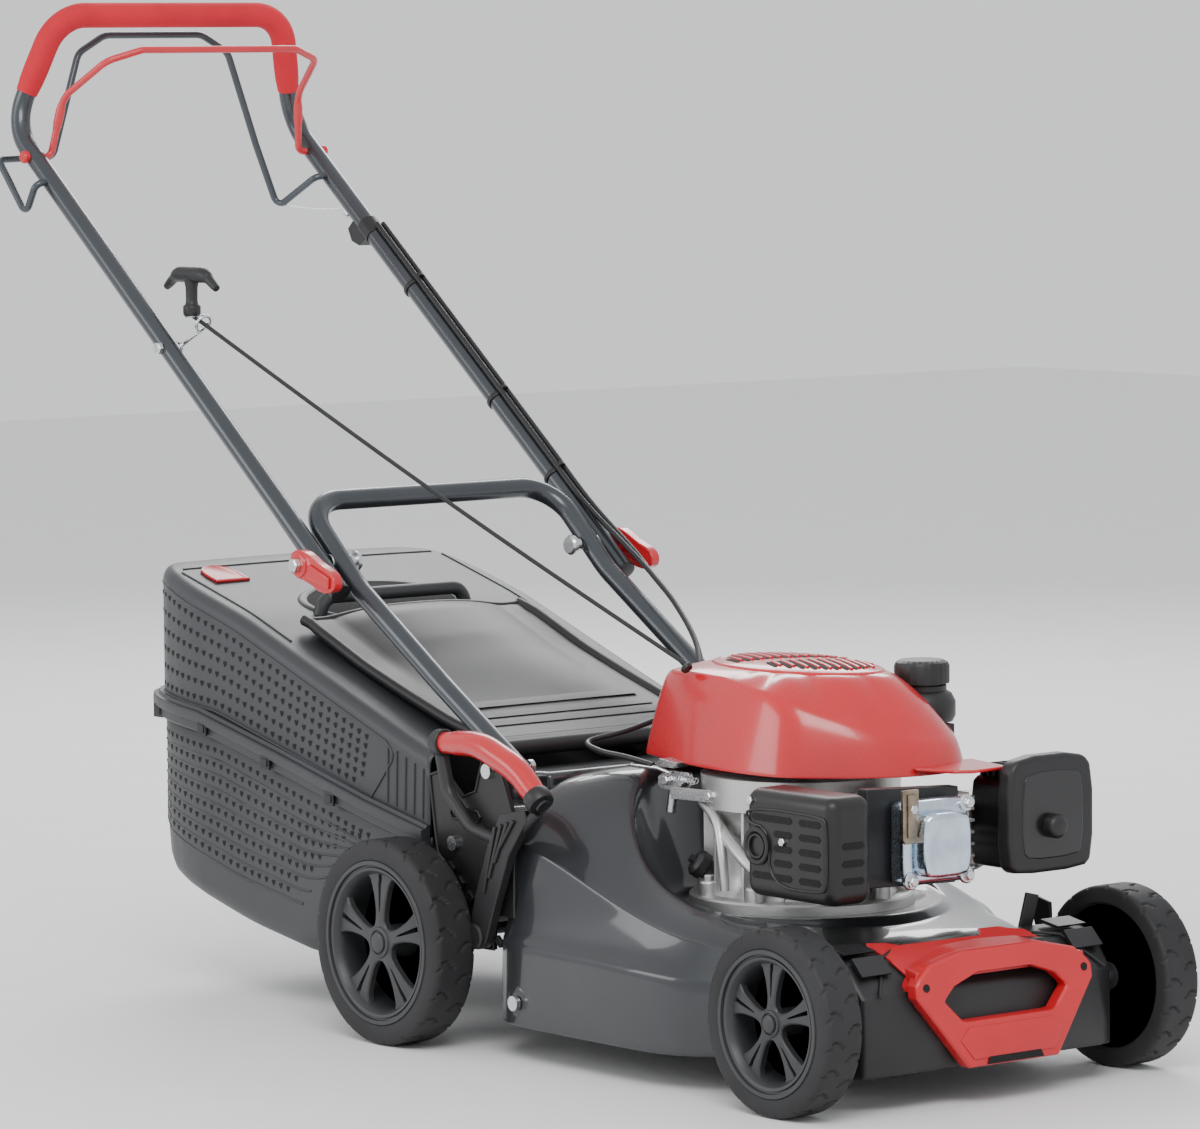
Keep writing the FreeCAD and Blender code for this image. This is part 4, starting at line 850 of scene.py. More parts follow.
rings = []
for step in range(0, 61):
    x = 2 - step * 8.75
    rings.append(catcher_ring(x, lerp_table(RIM_LINE, x), smooth_table(TOP_EDGE, x), 0, 0.0))
for x, inset, drop in ((-527, 0, 1.5), (-530.5, 2, 4), (-533, 6, 8), (-534, 12, 14)):
    rings.append(catcher_ring(x, lerp_table(RIM_LINE, x), 451 - drop, inset, 4.0))
end = [p.copy() for p in rings[-1]]
middle_end = at(-533, 0, 380)
rings.append([p.lerp(middle_end, 0.35) for p in end])
rings.append([p.lerp(middle_end, 0.97) for p in end])
upper = loft("catcher_upper_shell", rings, False)
finish(upper, "catcher", "grey_plastic", ["catcher_upper"], sharp=50, wall=2.2)


def lower_ring(x, low, high, inset):
    """One cross-section of the lower shell, rim to rim under the floor."""
    half = lerp_table(HALF_WIDTH, x) - 2 - inset
    corner = 24.0
    right = [(half, high + (low - high) * t) for t in (0, 0.2, 0.45, 0.7)]
    right = [(w - 3 * ((high - z) / 230) ** 2, max(z, low + corner)) for w, z in right]
    arc = [(half - 3 - corner + corner * math.cos(a), low + corner - corner * math.sin(a))
           for a in (math.radians(10 * k) for k in range(0, 10))]
    line = right + arc + [((half - corner) * t, low) for t in (0.8, 0.5, 0.2)]
    points = [(-w, z) for w, z in line] + [(0, low)] + [(w, z) for w, z in reversed(line)]
    return [at(x, w, z) for w, z in points]


rings = []
for step in range(0, 59):
    x = 2 - step * 8.75
    rings.append(lower_ring(x, smooth_table(BASE_LINE, x, 24), lerp_table(RIM_LINE, x), 0))
for x, inset, rise in ((-513, 0, 6), (-517, 2, 14), (-520, 7, 26), (-521.5, 14, 42)):
    rings.append(lower_ring(x, 118 + rise, lerp_table(RIM_LINE, x), inset))
end = [p.copy() for p in rings[-1]]
rings.append([p.lerp(at(-521.5, 0, 220), 0.4) for p in end])
rings.append([p.lerp(at(-521.5, 0, 220), 0.97) for p in end])
lower = loft("catcher_lower_shell", rings, False)
finish(lower, "catcher", "grey_plastic", ["catcher_lower"], sharp=50, wall=2.2)


def hull_y(x, lower_part=False):
    """The catcher's half width at a place along it."""
    return lerp_table(HALF_WIDTH, x) - (2.6 if lower_part else 0)


def heart(spots, x, y, z, sign, width=6.4, height=6.6):
    """A small drop-shaped face of painted shade standing in for a hole: two shoulders and a point."""
    outline = [(-0.5, 0.34), (-0.25, 0.5), (0, 0.36), (0.25, 0.5), (0.5, 0.34), (0.36, -0.06), (0, -0.5),
        (-0.36, -0.06)]
    start = len(spots[0])
    for u, v in outline:
        px = x + u * width
        spots[0].append(at(px, sign * (hull_y(px) + y + 0.5), z + v * height))
    face = tuple(range(start, start + len(outline)))
    spots[1].append(face if sign < 0 else face[::-1])


# the catcher's holes are near-black sheets of painted shade laid on its sides, not cut openings
for sign, name in ((-1, "right"), (1, "left")):
    holes = [[], []]
    for row in range(6):
        for k in range(31):
            x = -498 + 13.1 * k - 2.0 * row
            top, rim = smooth_table(TOP_EDGE, x), lerp_table(RIM_LINE, x)
            z = (top - 27) + ((rim + 22) - (top - 27)) * row / 5
            if x < -512 + 2 * row or x > -72 - 10 * row:
                continue
            heart(holes, x, 0, z, sign)
    finish(new_object("holes_upper_" + name, *holes), "catcher", "painted_shade", sharp=0)
    holes = [[], []]
    ribs = []
    for row in range(8):
        line = []
        for k in range(32):
            x = -500 + 13.1 * k - 2.0 * row
            rim, base = lerp_table(RIM_LINE, x), smooth_table(BASE_LINE, x, 24)
            z = (rim - 30) + ((base + 62) - (rim - 30)) * row / 7
            if row < 7 or x < -200:
                line.append((x, z - 9.5))
            if x > -96 - 22 * row or z < base + 44:
                continue
            heart(holes, x, -2.2 - 3 * ((rim - z) / 230) ** 2, z, sign)
        path = []
        for x, z in line:
            if x > -70 - 22 * row:
                break
            rim = lerp_table(RIM_LINE, x)
            path.append(at(x, sign * (hull_y(x) - 2.6 - 3 * ((rim - z) / 230) ** 2), z))
        ribs.append(sweep("rib", path, 1.5, 6))
    finish(new_object("holes_lower_" + name, *holes), "catcher", "painted_shade", sharp=0)
    finish(join("ribs_lower_" + name, ribs), "catcher", "grey_plastic", sharp=60)
    frame_line = []
    for x in range(-512, -60, 20):
        frame_line.append((x, smooth_table(TOP_EDGE, x) - 17))
    frame_line += [(-64, 292), (-60, 286), (-62, 279), (-104, 232), (-110, 229), (-120, 231 + 12)]
    for x in range(-140, -520, -20):
        frame_line.append((x, lerp_table(RIM_LINE, x) + 13))
    bead = [at(x, sign * (hull_y(x) + 0.2), z) for x, z in frame_line]
    finish(sweep("panel_bead_" + name, bead, 1.3, 8), "catcher", "grey_plastic",
        sharp=60)
    flutes = []
    for k in range(5):
        x = -70 + 15 * k
        low, high = lerp_table(RIM_LINE, x) + 16, lerp_table(TOP_EDGE, x) - 20
        flutes.append(sweep("flute", [at(x, sign * 200.2, low), at(x + 2, sign * 200.2, high)], 1.6, 8))
    finish(join("front_flutes_" + name, flutes), "catcher", "grey_plastic", sharp=60)

# overlapping rim with its latches
path = [(2, 200), (-100, 200), (-250, 200), (-400, 200), (-430, 199), (-455, 196), (-480, 190), (-500, 182),
        (-518, 169), (-530, 153), (-534, 132), (-535, 100)]
full = [(x, -y) for x, y in path] + [(-535, 0)] + [(x, y) for x, y in reversed(path)]
sections = []
for k, (x, y) in enumerate(full):
    before, after = full[max(k - 1, 0)], full[min(k + 1, len(full) - 1)]
    tangent = Vector((after[0] - before[0], after[1] - before[1])).normalized()
    out = Vector((tangent.y, -tangent.x))
    if out.x * (x + 200) + out.y * y < 0:
        out = -out
    z = lerp_table(RIM_LINE, x)
    shape = [(-1, -13), (5, -13), (7, -11), (7, -3), (11, -1), (11.5, 1), (11.5, 8), (10, 9.5), (6, 10),
        (4, 13), (-1, 13)]
    sections.append([at(x + out.x * d, y + out.y * d, z + h) for d, h in shape])
finish(loft("catcher_rim_band", sections, True, (True, True)), "catcher", "grey_plastic", ["catcher_rim"],
    sharp=36)
tabs = []
for sign in (-1, 1):
    for x in (-492, -388, -272, -158):
        y = sign * (hull_y(x) + 11.4)
        z = lerp_table(RIM_LINE, x)
        tabs.append(brick("latch", (x - 8, min(y, y - sign * 3), z - 14),
            (x + 8, max(y, y - sign * 3), z + 1)))
        tabs.append(brick("latch", (x - 5, min(y, y + sign * 1.2), z - 11),
            (x + 5, max(y, y + sign * 1.2), z - 3)))
finish(join("rim_latches", tabs), "catcher", "black_plastic", bevel=0.8)


def on_top(x, y, lift=0.0):
    """A point on the catcher's lid."""
    half = lerp_table(HALF_WIDTH, x)
    return at(x, y, smooth_table(TOP_EDGE, x) + 1.6 * (1 - (y / half) ** 2) + lift)


# hand recess, its lip and the grab bar
RECESS_X, RECESS_LONG, RECESS_WIDE = -346, 52, 96
oval = [(math.cos(2 * math.pi * k / 56), math.sin(2 * math.pi * k / 56)) for k in range(56)]
recess = [[on_top(RECESS_X + RECESS_LONG * c * g, RECESS_WIDE * s * g, lift) for c, s in oval]
          for g, lift in ((1.10, -0.4), (1.08, 1.2), (1.04, 2.4), (1.0, 2.0), (0.97, 0.6))]
finish(loft("recess_lip", recess), "catcher", "grey_plastic", sharp=60)
# the recess floor is a near-black sheet of painted shade
floor_ring = [[on_top(RECESS_X + RECESS_LONG * c * g, RECESS_WIDE * s * g, 0.8) for c, s in oval]
              for g in (0.98, 0.5, 0.02)]
finish(loft("recess_floor", floor_ring), "catcher", "painted_shade", sharp=0)
bar_points = [at(-326, -98, 404), at(-326, -92, 424), at(-326, 92, 424), at(-326, 98, 404)]
finish(sweep("grab_bar", bent(bar_points, [18, 18]), 7.5, 20), "catcher", "grey_plastic")
creases = []
for sign in (-1, 1):
    creases.append(sweep("crease", [on_top(x, sign * 176, 0.2) for x in range(-470, -250, 20)], 1.2, 8))
creases.append(sweep("crease", [on_top(-480, y, 0.2) for y in range(-168, 169, 24)], 1.2, 8))
finish(join("top_creases", creases), "catcher", "grey_plastic", sharp=60)

# level flap: D-shaped leaf on its pin
leaf = [(-433, -158), (-452, -158), (-466, -155), (-474, -147), (-477, -136), (-474, -125), (-466, -117),
        (-452, -114), (-433, -114)]


def leaf_top(x, lift):
    """Height of the level leaf, which slopes back."""
    return 437.6 + (-(x + 433)) * 0.262 + lift


def leaf_ring(grow, lift):
    """The leaf's outline, grown and lifted."""
    return [at(-454 + (x + 454) * grow, -136 + (y + 136) * grow, leaf_top(x, lift)) for x, y in leaf]


level = loft("level_leaf", [leaf_ring(0.97, -0.8), leaf_ring(1.0, 0), leaf_ring(1.0, 1.6),
    leaf_ring(0.96, 2.6),
                            leaf_ring(0.86, 2.7), leaf_ring(0.84, 2.2)], True, (True, True))
pin = sweep("level_pin_bar", [at(-433, -158, 438.2), at(-433, -114, 438.2)], 1.8, 12)
finish(join("level_flap", [level, pin]), "fill_flap", "red_plastic", ["fill_flap"])


# ---------------------------------------------------------------- front apron and lifting handle
APRON = [(561, 42), (561, 148), (600, 141), (632, 112), (643, 62), (640, 36), (600, 36)]
sections = []
for y, limit in ((-168, 598), (-160, 626), (-134, 645), (134, 645), (160, 626), (168, 598)):
    sections.append([at(min(x, limit), y, z - (0.0 if x < limit else 3.0)) for x, z in APRON])
finish(loft("front_apron", sections, True, (True, True)), "chassis", "black_plastic", ["front_shroud"],
    bevel=3)
lines = []
for s in (-1, 1):
    lines.append(sweep("line", [at(566, s * 60, 149), at(601, s * 116, 142.6), at(633, s * 146, 112)],
        1.6, 8))
    for side in ([(567, 151), (592, 147), (596, 149.5), (571, 154)],
        [(600, 144), (616, 129), (620, 131), (604, 147)]):
        lines.append(slab("louvre", side, "Y", s * 118, s * 156))
finish(join("apron_ribs", lines), "chassis", "black_plastic", bevel=0.8)
tab_side = [(497, 118), (515, 118), (513, 158), (495, 162), (489, 140)]
finish(prism("side_tab", tab_side, "Y", 184, 188), "chassis", "black_plastic", bevel=1)
fin = prism("upright_tab", [(100, 146), (116, 143), (126, 176), (110, 180)], "X", 557, 561)
finish(fin, "chassis", "black_plastic", bevel=1)

HANDLE_OUT = [(-58, 38), (58, 38), (114, 108), (114, 122), (94, 138), (48, 148), (-48, 148), (-94, 138),
              (-114, 122), (-114, 108)]
HANDLE_WINDOW = [(-58, 82), (58, 82), (79, 103), (64, 116), (34, 126), (-34, 126), (-64, 116), (-79, 103)]


def ray(outline, turn):
    """Where a ray from the window's middle meets an outline."""
    dy, dz = math.cos(turn), math.sin(turn)
    best = None
    for (a, b), (c, d) in zip(outline, outline[1:] + outline[:1]):
        ey, ez = c - a, d - b
        det = dy * -ez + dz * ey
        if abs(det) < 1e-9:
            continue
        k = (a * -ez + (b - 102) * ey) / det
        m = (dy * (b - 102) - dz * a) / det
        if k > 0 and -1e-6 <= m <= 1 + 1e-6:
            best = k if best is None else max(best, k)
    return best * dy, 102 + best * dz


def lean(z):
    """How far forward the lifting handle stands at a height."""
    return 663 - (z - 38) * 0.17


rings = []
for outline, depth, grow in ((HANDLE_OUT, 16, 0.985), (HANDLE_OUT, 14, 1.0), (HANDLE_OUT, 2.5, 1.0),
                             (HANDLE_OUT, 0, 0.975), (HANDLE_WINDOW, 0, 1.05), (HANDLE_WINDOW, 2.5, 1.0),
                             (HANDLE_WINDOW, 14, 1.0), (HANDLE_WINDOW, 16, 1.03)):
    ring = []
    for k in range(120):
        y, z = ray(outline, 2 * math.pi * k / 120)
        y, z = y * grow, 102 + (z - 102) * grow
        ring.append(at(lean(z) - depth, y, z))
    rings.append(ring)
rings.append(rings[0])
handle = loft("front_loop", rings, True)
hood = []
for k in range(41):
    y = -112 + 5.6 * k
    z = lerp_table([(-114, 118), (-94, 138), (-48, 148), (48, 148), (94, 138), (114, 118)], y)
    x = lean(z) - 6
    back = 34 - 14 * abs(y) / 112
    hood.append([at(x, y, z - 0.3), at(x - back, y, z + 2.6 - 6 * (abs(y) / 112) ** 2),
                 at(x - back, y, z - 1.4 - 6 * (abs(y) / 112) ** 2), at(x, y, z - 6)])
shade_top = loft("front_hood", hood, True, (True, True))
cheeks = []
for s in (-1, 1):
    cheeks.append(loft("cheek", [[at(lean(112) - 8, s * 113, 112), at(lean(112) - 8, s * 108, 132),
                                  at(622, s * 105, 134), at(632, s * 109, 108)],
                                 [at(lean(112) - 8, s * 107, 112), at(lean(112) - 8, s * 102, 132),
                                  at(622, s * 99, 134), at(632, s * 103, 108)]], True, (True, True)))
finish(join("front_grip", [handle, shade_top] + cheeks), "chassis", "red_plastic", ["front_handle"],
    bevel=1.0)
panel = [(-52, 46), (52, 46), (66, 64), (54, 76), (-54, 76), (-66, 64)]
rings = [[at(lean(z) + d, y * g, 61 + (z - 61) * g) for y, z in panel] for d,
    g in ((-1, 1.0), (0.9, 1.0), (1.3, 0.97))]
finish(loft("grip_panel", rings, True, (False, True)), "chassis", "red_plastic",
    bevel=0.5)
# the slot in the grip panel is a near-black sheet of painted shade
slot = [(-36, 40), (36, 40), (33, 47), (-33, 47)]
finish(loft("grip_slot", [[at(lean(z) + d, y, z) for y, z in slot] for d in (0.2, 1.7)], True, (False, True)),
       "chassis", "painted_shade", sharp=30)
# dark discs of painted shade at the two screw holes
dots = [lathe("dot", [(4, 0), (4, 0.5), (0, 0.5)], at(lean(118) + 0.1, s * 102, 118), (1, 0, 0.17),
    20) for s in (-1, 1)]
finish(join("grip_screws", dots), "chassis", "painted_shade")


def apron_top(x):
    """Height of the apron's upper side."""
    return lerp_table([(540, 147), (561, 149), (600, 142), (634, 112)], x) + 1.2


plate = [(565, -104), (571, -84), (581, -76), (583, 26), (575, 34), (565, 40), (566, 66), (574, 72),
    (582, 86),
         (614, 100), (626, 96), (626, -98), (606, -108)]
finish(loft("trim_plate", [[at(x, y, apron_top(x) + d) for x, y in plate] for d in (-0.5, 2.6)], True,
    (True, True)),
       "chassis", "red_plastic", bevel=0.7)


# ---------------------------------------------------------------- rear flap
FLAP_LINE = [(44, 305), (38, 306), (-30, 319), (-110, 343), (-180, 365.5), (-256, 395.5), (-290, 408)]


def hump(x, y):
    """Raised middle of the flap towards the catcher."""
    along = lerp_table([(-290, 0.55), (-262, 1.0), (-200, 0.92), (-130, 0.5), (-70, 0.12), (-40, 0.0)], x)
    across = max(0.0, 1 - (abs(y) / 112) ** 2.6)
    return 15.0 * along * across


rows = []
HALF_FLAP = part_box("rear_flap")[1].y * 1000
for step in range(0, 45):
    x = 38 - step * 7.45
    z = sum(lerp_table(sorted(FLAP_LINE), x + d) for d in (-14, -7, 0, 7, 14)) / 5
    taper = HALF_FLAP - (2.0 if x < -270 else 0.0)
    row = []
    for k in range(41):
        y = taper * (k / 20 - 1)
        edge = 1.8 * max(0.0, 1 - ((taper - abs(y)) / 7) ** 2) if taper - abs(y) < 7 else 0.0
        row.append(at(x, y, z + hump(x, y) + edge))
    rows.append(row)
leaf = loft("flap_leaf_top", rows, False)
finish(leaf, "rear_flap", "black_plastic", ["rear_flap"], sharp=50, wall=4.0)
beads = []
for s in (-1, 1):
    line = [rows[k][40 if s > 0 else 0] + Vector((0, -s * 0.003, -0.003)) for k in range(4, 45, 2)]
    beads.append(sweep("bead", line, 6.0, 14))
beads.append(sweep("bead", [rows[-1][k] + Vector((0.002, 0, -0.003)) for k in range(0, 41, 2)], 4.5, 12))
tube = lathe("knuckle", [(4.3, 0), (9, 0), (9, 2 * HALF_FLAP), (4.3, 2 * HALF_FLAP)],
    at(44, -HALF_FLAP, 296), (0, 1, 0), 32)
neck = prism("neck", [(30, 300), (30, 307), (42, 306.5), (50, 301), (42, 298)], "Y", -HALF_FLAP, HALF_FLAP)
finish(join("flap_edges", beads + [tube, neck]), "rear_flap", "black_plastic", sharp=40)
steps_ = []
for k in range(3):
    x = -6 - 26 * k
    z = lerp_table(sorted(FLAP_LINE), x)
    steps_.append(prism("step", [(x - 9, z + 4.2), (x - 6, z + 3.6), (x + 7, z - 0.2), (x - 10, z + 1.6)],
        "Y", -118, 118))
finish(join("flap_steps", steps_), "rear_flap", "black_plastic", bevel=0.7)


# ---------------------------------------------------------------- handle, bails and controls
TUBE_Y, TUBE_FOOT, TUBE_TOP = 190, 446, 927
TUBE_R, LOWER_Y = 11, 166


def on_tube(z, y=0.0):
    """The point on the upper handle's straight side at a height."""
    k = (z - TUBE_FOOT) / (TUBE_TOP - TUBE_FOOT)
    return at(-162 - 606 * k, y, z)


UPWARD = (on_tube(900) - on_tube(500)).normalized()
OUTWARD = Vector((UPWARD.z, 0, -UPWARD.x))
grip_corner = at(-732, -152, 1049)
up_half = [on_tube(TUBE_FOOT, -TUBE_Y), on_tube(TUBE_TOP, -TUBE_Y), grip_corner]
whole = bent(both(up_half), [55, 48, 48, 55], 14)
finish(sweep("upper_tube", whole, TUBE_R, 32), "upper_handle", "tube_paint", ["upper_handle"], sharp=60)
low_half = [at(x, -LOWER_Y, z) for x, z in ((112, 281), (-21, 360), (-164, 450), (-258, 534))]
finish(sweep("lower_tube", bent(both(low_half), [120, 150, 46, 46, 150, 120], 12), TUBE_R, 32), "chassis",
    "tube_paint",
       ["lower_handle"], sharp=60)
plugs = [lathe("plug", [(11.3, -1), (11.3, 2), (8, 3.2), (0, 3.2)], on_tube(TUBE_FOOT, s * TUBE_Y),
    -UPWARD, 28) for s in (-1, 1)]
finish(join("tube_plugs", plugs), "upper_handle", "black_plastic")

start = on_tube(TUBE_TOP, -TUBE_Y).lerp(grip_corner, 0.3)
foam_path = bent(both([start, grip_corner]), [48, 48], 16)
fine = []
for a, b in zip(foam_path, foam_path[1:]):
    pieces = max(1, int((b - a).length / 0.012))
    fine += [a.lerp(b, t / pieces) for t in range(pieces)]
fine.append(foam_path[-1])
reach = len(fine) - 1


def foam_radius(t):
    """Foam tapers in at both ends."""
    end = min(t, 1 - t) * reach
    return 14.0 - (2.0 if end < 0.5 else 0.5 if end < 1.5 else 0.0)


foam = sweep("foam_grip", fine, foam_radius, 28)
finish(foam, "upper_handle", "red_foam", ["grip_foam"], sharp=50)

RED_HINGE, DARK_HINGE = on_tube(893), on_tube(865)
red_half = [Vector((RED_HINGE.x, -0.188, RED_HINGE.z)), Vector((RED_HINGE.x, -0.169, RED_HINGE.z)),
            at(-712, -160, 958), at(-652, -142, 998), at(-637, -104, 1010)]
finish(sweep("stop_wire", bent(both(red_half), [9, 30, 22, 14, 14, 22, 30, 9]), 4.0, 18), "stop_bail",
    "red_wire",
       ["stop_bail"], sharp=60)
dark = [Vector((DARK_HINGE.x, -0.191, DARK_HINGE.z)), Vector((DARK_HINGE.x, -0.212, DARK_HINGE.z)),
        at(-711, -212, 830), at(-765, -212, 890), at(-765, -140, 892), at(-768, -102, 1007),
            at(-768, -66, 1027),
        at(-768, 66, 1027), at(-768, 102, 1007), at(-758, 133, 901), at(-752, 158, 829),
        Vector((DARK_HINGE.x, 0.168, DARK_HINGE.z)), Vector((DARK_HINGE.x, 0.188, DARK_HINGE.z))]
finish(sweep("drive_wire", bent(dark, [9, 9, 9, 12, 20, 30, 30, 20, 40, 9, 9]), 4.0, 18), "drive_bail",
    "dark_wire",
       ["drive_bail"], sharp=60)
stops = []
for s in (-1, 1):
    stops.append(stud("stop", Vector((RED_HINGE.x, s * 0.2, RED_HINGE.z)), (0, s, 0), 7, 5, 1.5, 2, 20))
finish(join("bail_stops", stops), "upper_handle", "red_plastic")
flats = []
for s in (-1, 1):
    spot = Vector((RED_HINGE.x, s * 0.169, RED_HINGE.z))
    ahead = (at(-712, s * 160, 958) - spot).normalized()
    flats.append(sweep("flat", [spot + ahead * d for d in (0.030, 0.038, 0.052, 0.060)],
                       lambda t: 4.1 + 1.3 * math.sin(math.pi * t), 14))
finish(join("stop_wire_flats", flats), "stop_bail", "red_wire", sharp=60)

# T-handle, its ferrule and the rope guide
TEE = at(-468, -160, 766)
tee_line = bent([TEE + Vector((-0.047, 0, -0.012)), TEE + Vector((-0.026, 0, 0.002)),
    TEE + Vector((0.026, 0, 0.002)),
                 TEE + Vector((0.047, 0, -0.012))], [24, 24], 8)
bar = sweep("tee_bar", thirds(tee_line), lambda t: 4.0 + 4.6 * math.sin(math.pi * min(max(t, 0.0),
    1.0)) ** 0.6, 20)
stem = lathe("tee_stem", [(9.5, 0.006), (8.2, 4), (6.6, 12), (6.4, 26), (7.2, 30), (9.3, 31.5), (9.6, 33),
    (9.6, 40), (8.6, 42),
                          (3.2, 42)], TEE, (0, 0, -1), 32)
finish(join("tee_handle", [bar, stem]), "starter_handle", "black_plastic", ["starter_handle"], sharp=50)
ring = lathe("tee_ring", [(8.0, 41.8), (9.0, 42.4), (8.4, 43.8), (3.4, 43.8), (3.2, 42)], TEE, (0, 0, -1), 32)
finish(ring, "starter_handle", "zinc")

FOOT = TEE + Vector((0, 0, -0.042))
OUTLET = at(246, -60, 392)
PULL = (FOOT - OUTLET).normalized()
spot = FOOT - PULL * 0.018
along, u, v = frame_of(PULL)
curl = [spot + (u * math.cos(t) + v * math.sin(t)) * 0.009 - PULL * (0.0022 * t / 6.28)
        for t in (2 * math.pi * k / 28 for k in range(31))]
seat = on_tube(690, -TUBE_Y)
leg = [curl[-1], spot + Vector((0.004, -0.012, -0.012)), seat + Vector((0.006, 0.016, 0.004)),
    seat + Vector((0.002, 0.009, 0))]
guide = join("rope_curl", [sweep("curl", curl, 2.0, 12), sweep("leg", bent(leg, [4, 6]), 2.0, 12)])
finish(guide, "upper_handle", "zinc", ["rope_guide"], sharp=60)
nut = [stud("nut", on_tube(690, -201), (0, -1, 0), 7, 4.5, 1.5),
       lathe("nut", [(7, 0), (7, 3), (0, 3)], on_tube(690, -178.5), (0, 1, 0), 6)]
finish(join("guide_nuts", nut), "upper_handle", "zinc", bevel=0.4)


def rope_line(a, b, sag, count=60):
    """A straight run with a little sag."""
    return [a.lerp(b, t / count) - Vector((0, 0,
        sag * math.sin(math.pi * t / count))) for t in range(count + 1)]


rope = sweep("pull_rope", rope_line(OUTLET, spot, 0.006), 2.3, 14)
finish(rope, None, "rope_braid", ["starter_rope"], sharp=60)
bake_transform(rope)
rope_end = sweep("pull_rope_end", rope_line(spot, FOOT - PULL * 0.0005, 0.0, 8), 2.3, 14)
finish(rope_end, None, "rope_braid", sharp=60)
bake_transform(rope_end)

# cam levers on the fold bolts
FOLD = on_tube(474)
for tag, s in (("right", -1), ("left", 1)):
    fx, fz = (FOLD.x - X0) * 1000, 474
    outline = [(-17, 11), (-13, -8), (-4, -14), (14, -17), (40, -28), (60, -24), (63, -14), (57, -5),
        (34, 3), (14, 13),
               (-2, 17)]
    y0 = 206.0
    body = loft("cam_body", [[at(fx + a, s * y, fz + b) for a, b in smooth_closed(outline, 1)]
                             for y in (y0, y0 + 11)], True, (True, True))
    eye = lathe("cam_eye", [(13, -4.2), (13.4, -3), (13.4, 12), (11.5, 13.5), (5, 13.5)],
        Vector((FOLD.x, s * y0 / 1000, FOLD.z)),
                (0, s, 0), 36)
    rib = slab("cam_rib", [(fx + 16, fz - 12), (fx + 54, fz - 22), (fx + 55, fz - 10), (fx + 20, fz + 2)],
        "Y",
                 s * (y0 + 11), s * (y0 + 14))
    finish(join("cam_" + tag, [body, eye, rib]), "cam_" + tag, "red_gloss", ["cam_lever_" + tag], bevel=1.4)
    head = [stud("fold_nut", Vector((FOLD.x, s * 0.2195, FOLD.z)), (0, s, 0), 8, 6, 1.5, 1.5),
            lathe("fold_head", [(11, 0), (11, 4), (9, 6.5), (0, 6.5)],
                Vector((FOLD.x, s * 0.147, FOLD.z)), (0, -s, 0), 24),
            lathe("fold_spacer", [(9.2, 0), (9.2, 2), (5, 2)], Vector((FOLD.x, s * 0.1771, FOLD.z)),
                (0, s, 0), 24)]
    finish(join("fold_fixings_" + tag, head), "chassis", "zinc", bevel=0.4)

# cable bracket, adjuster and ties
base = on_tube(805, TUBE_Y)
clip = []
clip.append(prism("clip", [(-648, 806), (-633, 820), (-618, 812), (-613, 796), (-627, 787), (-641, 792)],
    "Y", 181, 199))
clip.append(lathe("clip_band", [(12.4, 0), (12.4, 22), (11, 22), (11, 0)], base - UPWARD * 0.011, UPWARD, 28))
finish(join("cable_anchor", clip), "upper_handle", "black_plastic", ["cable_clips"], bevel=1.2)
screw_at = at(-650, 190, 818)
adjust = lathe("adjuster", [(0, -6), (3, -6), (3, 4), (5.5, 5), (5.5, 11), (3, 12), (3, 20), (0, 20)],
    screw_at,
               (-0.82, -0.1, 0.57), 16)
finish(adjust, "upper_handle", "zinc")
tie_parts = []
for z in (740, 620, 540):
    tie_parts.append(lathe("tie", [(12.6, 0), (12.9, 1), (12.9, 4), (12.6, 5), (11, 5), (11, 0)],
        on_tube(z, TUBE_Y), UPWARD, 24))
    tie_parts.append(lathe("tie2", [(5.2, 0), (5.2, 5), (4, 5), (4, 0)],
                           on_tube(z, TUBE_Y) + Vector((OUTWARD.x, 0, OUTWARD.z)) * 0.0162, UPWARD, 18))
finish(join("cable_ties", tie_parts), "upper_handle", "black_plastic")

# height lever: arched grip, ribbed column and notched rack
LY = -215
arch = bent([at(47, LY, 309), at(106, LY, 313), at(168, LY, 292), at(206, LY, 261)], [110, 90], 14)
grip = sweep("lever_arch", thirds(arch),
             lambda t: 12.6 + 1.1 * math.sin(math.pi * t) - (1.5 if t < 0.02 or t > 0.985 else 0), 28)
finish(grip, "rear_suspension", "red_gloss", ["lever_grip"], sharp=60)
along = (arch[-1] - arch[-2]).normalized()
tip = lathe("lever_tip", [(13.2, -14), (14.2, -12), (14.6, -3), (13.4, 0.5), (9.3, 0.8)], arch[-1], along, 36)
tail = lathe("lever_collar", [(13, -3), (14, -2), (14, 8), (12, 12), (8, 14), (0, 14)], arch[0],
             arch[0] - arch[1], 32)
finish(join("lever_ends", [tip, tail]), "rear_suspension", "black_plastic")
button = lathe("lever_end_button", [(8.8, -1), (8.8, 4), (7.4, 5.6), (0, 6.2)], arch[-1] - along * 0.0015,
    along, 32)
for vert in button.data.vertices:
    vert.co.y = LY / 1000 + (vert.co.y - LY / 1000) * 0.85
finish(button, "lever_button", "black_gloss", ["lever_button"])
lip = bent([at(42, LY, 300), at(54, LY, 258), at(92, LY, 226), at(150, LY, 216), at(200, LY, 252)],
    [30, 34, 34], 10)
guard_bow = sweep("lever_bow", lip, lambda t: 7.2 - 1.2 * t, 18)
outline = [(90, 112), (106, 105), (121, 114), (136, 152), (160, 206), (190, 244), (186, 254), (146, 246),
    (126, 214),
           (104, 160)]
stem = prism("lever_stem", outline, "Y", -221.5, -211)
bars = []
for k in range(4):
    bars.append(prism("rib", [(118 + 9 * k, 164 + 16 * k), (122 + 9 * k, 164 + 16 * k),
        (142 + 10 * k, 232 + 3 * k),
                              (138 + 10 * k, 234 + 3 * k)], "Y", -224.5, -221))
finish(join("lever_column", [guard_bow, stem] + bars), "rear_suspension", "black_plastic",
    ["height_lever"], bevel=1.2)
eye = lathe("lever_eye_cap", [(13, 0), (13, 3), (11, 4.5), (0, 5)], at(106, -221.5, 119), (0, -1, 0), 32)
finish(eye, "rear_suspension", "black_plastic")
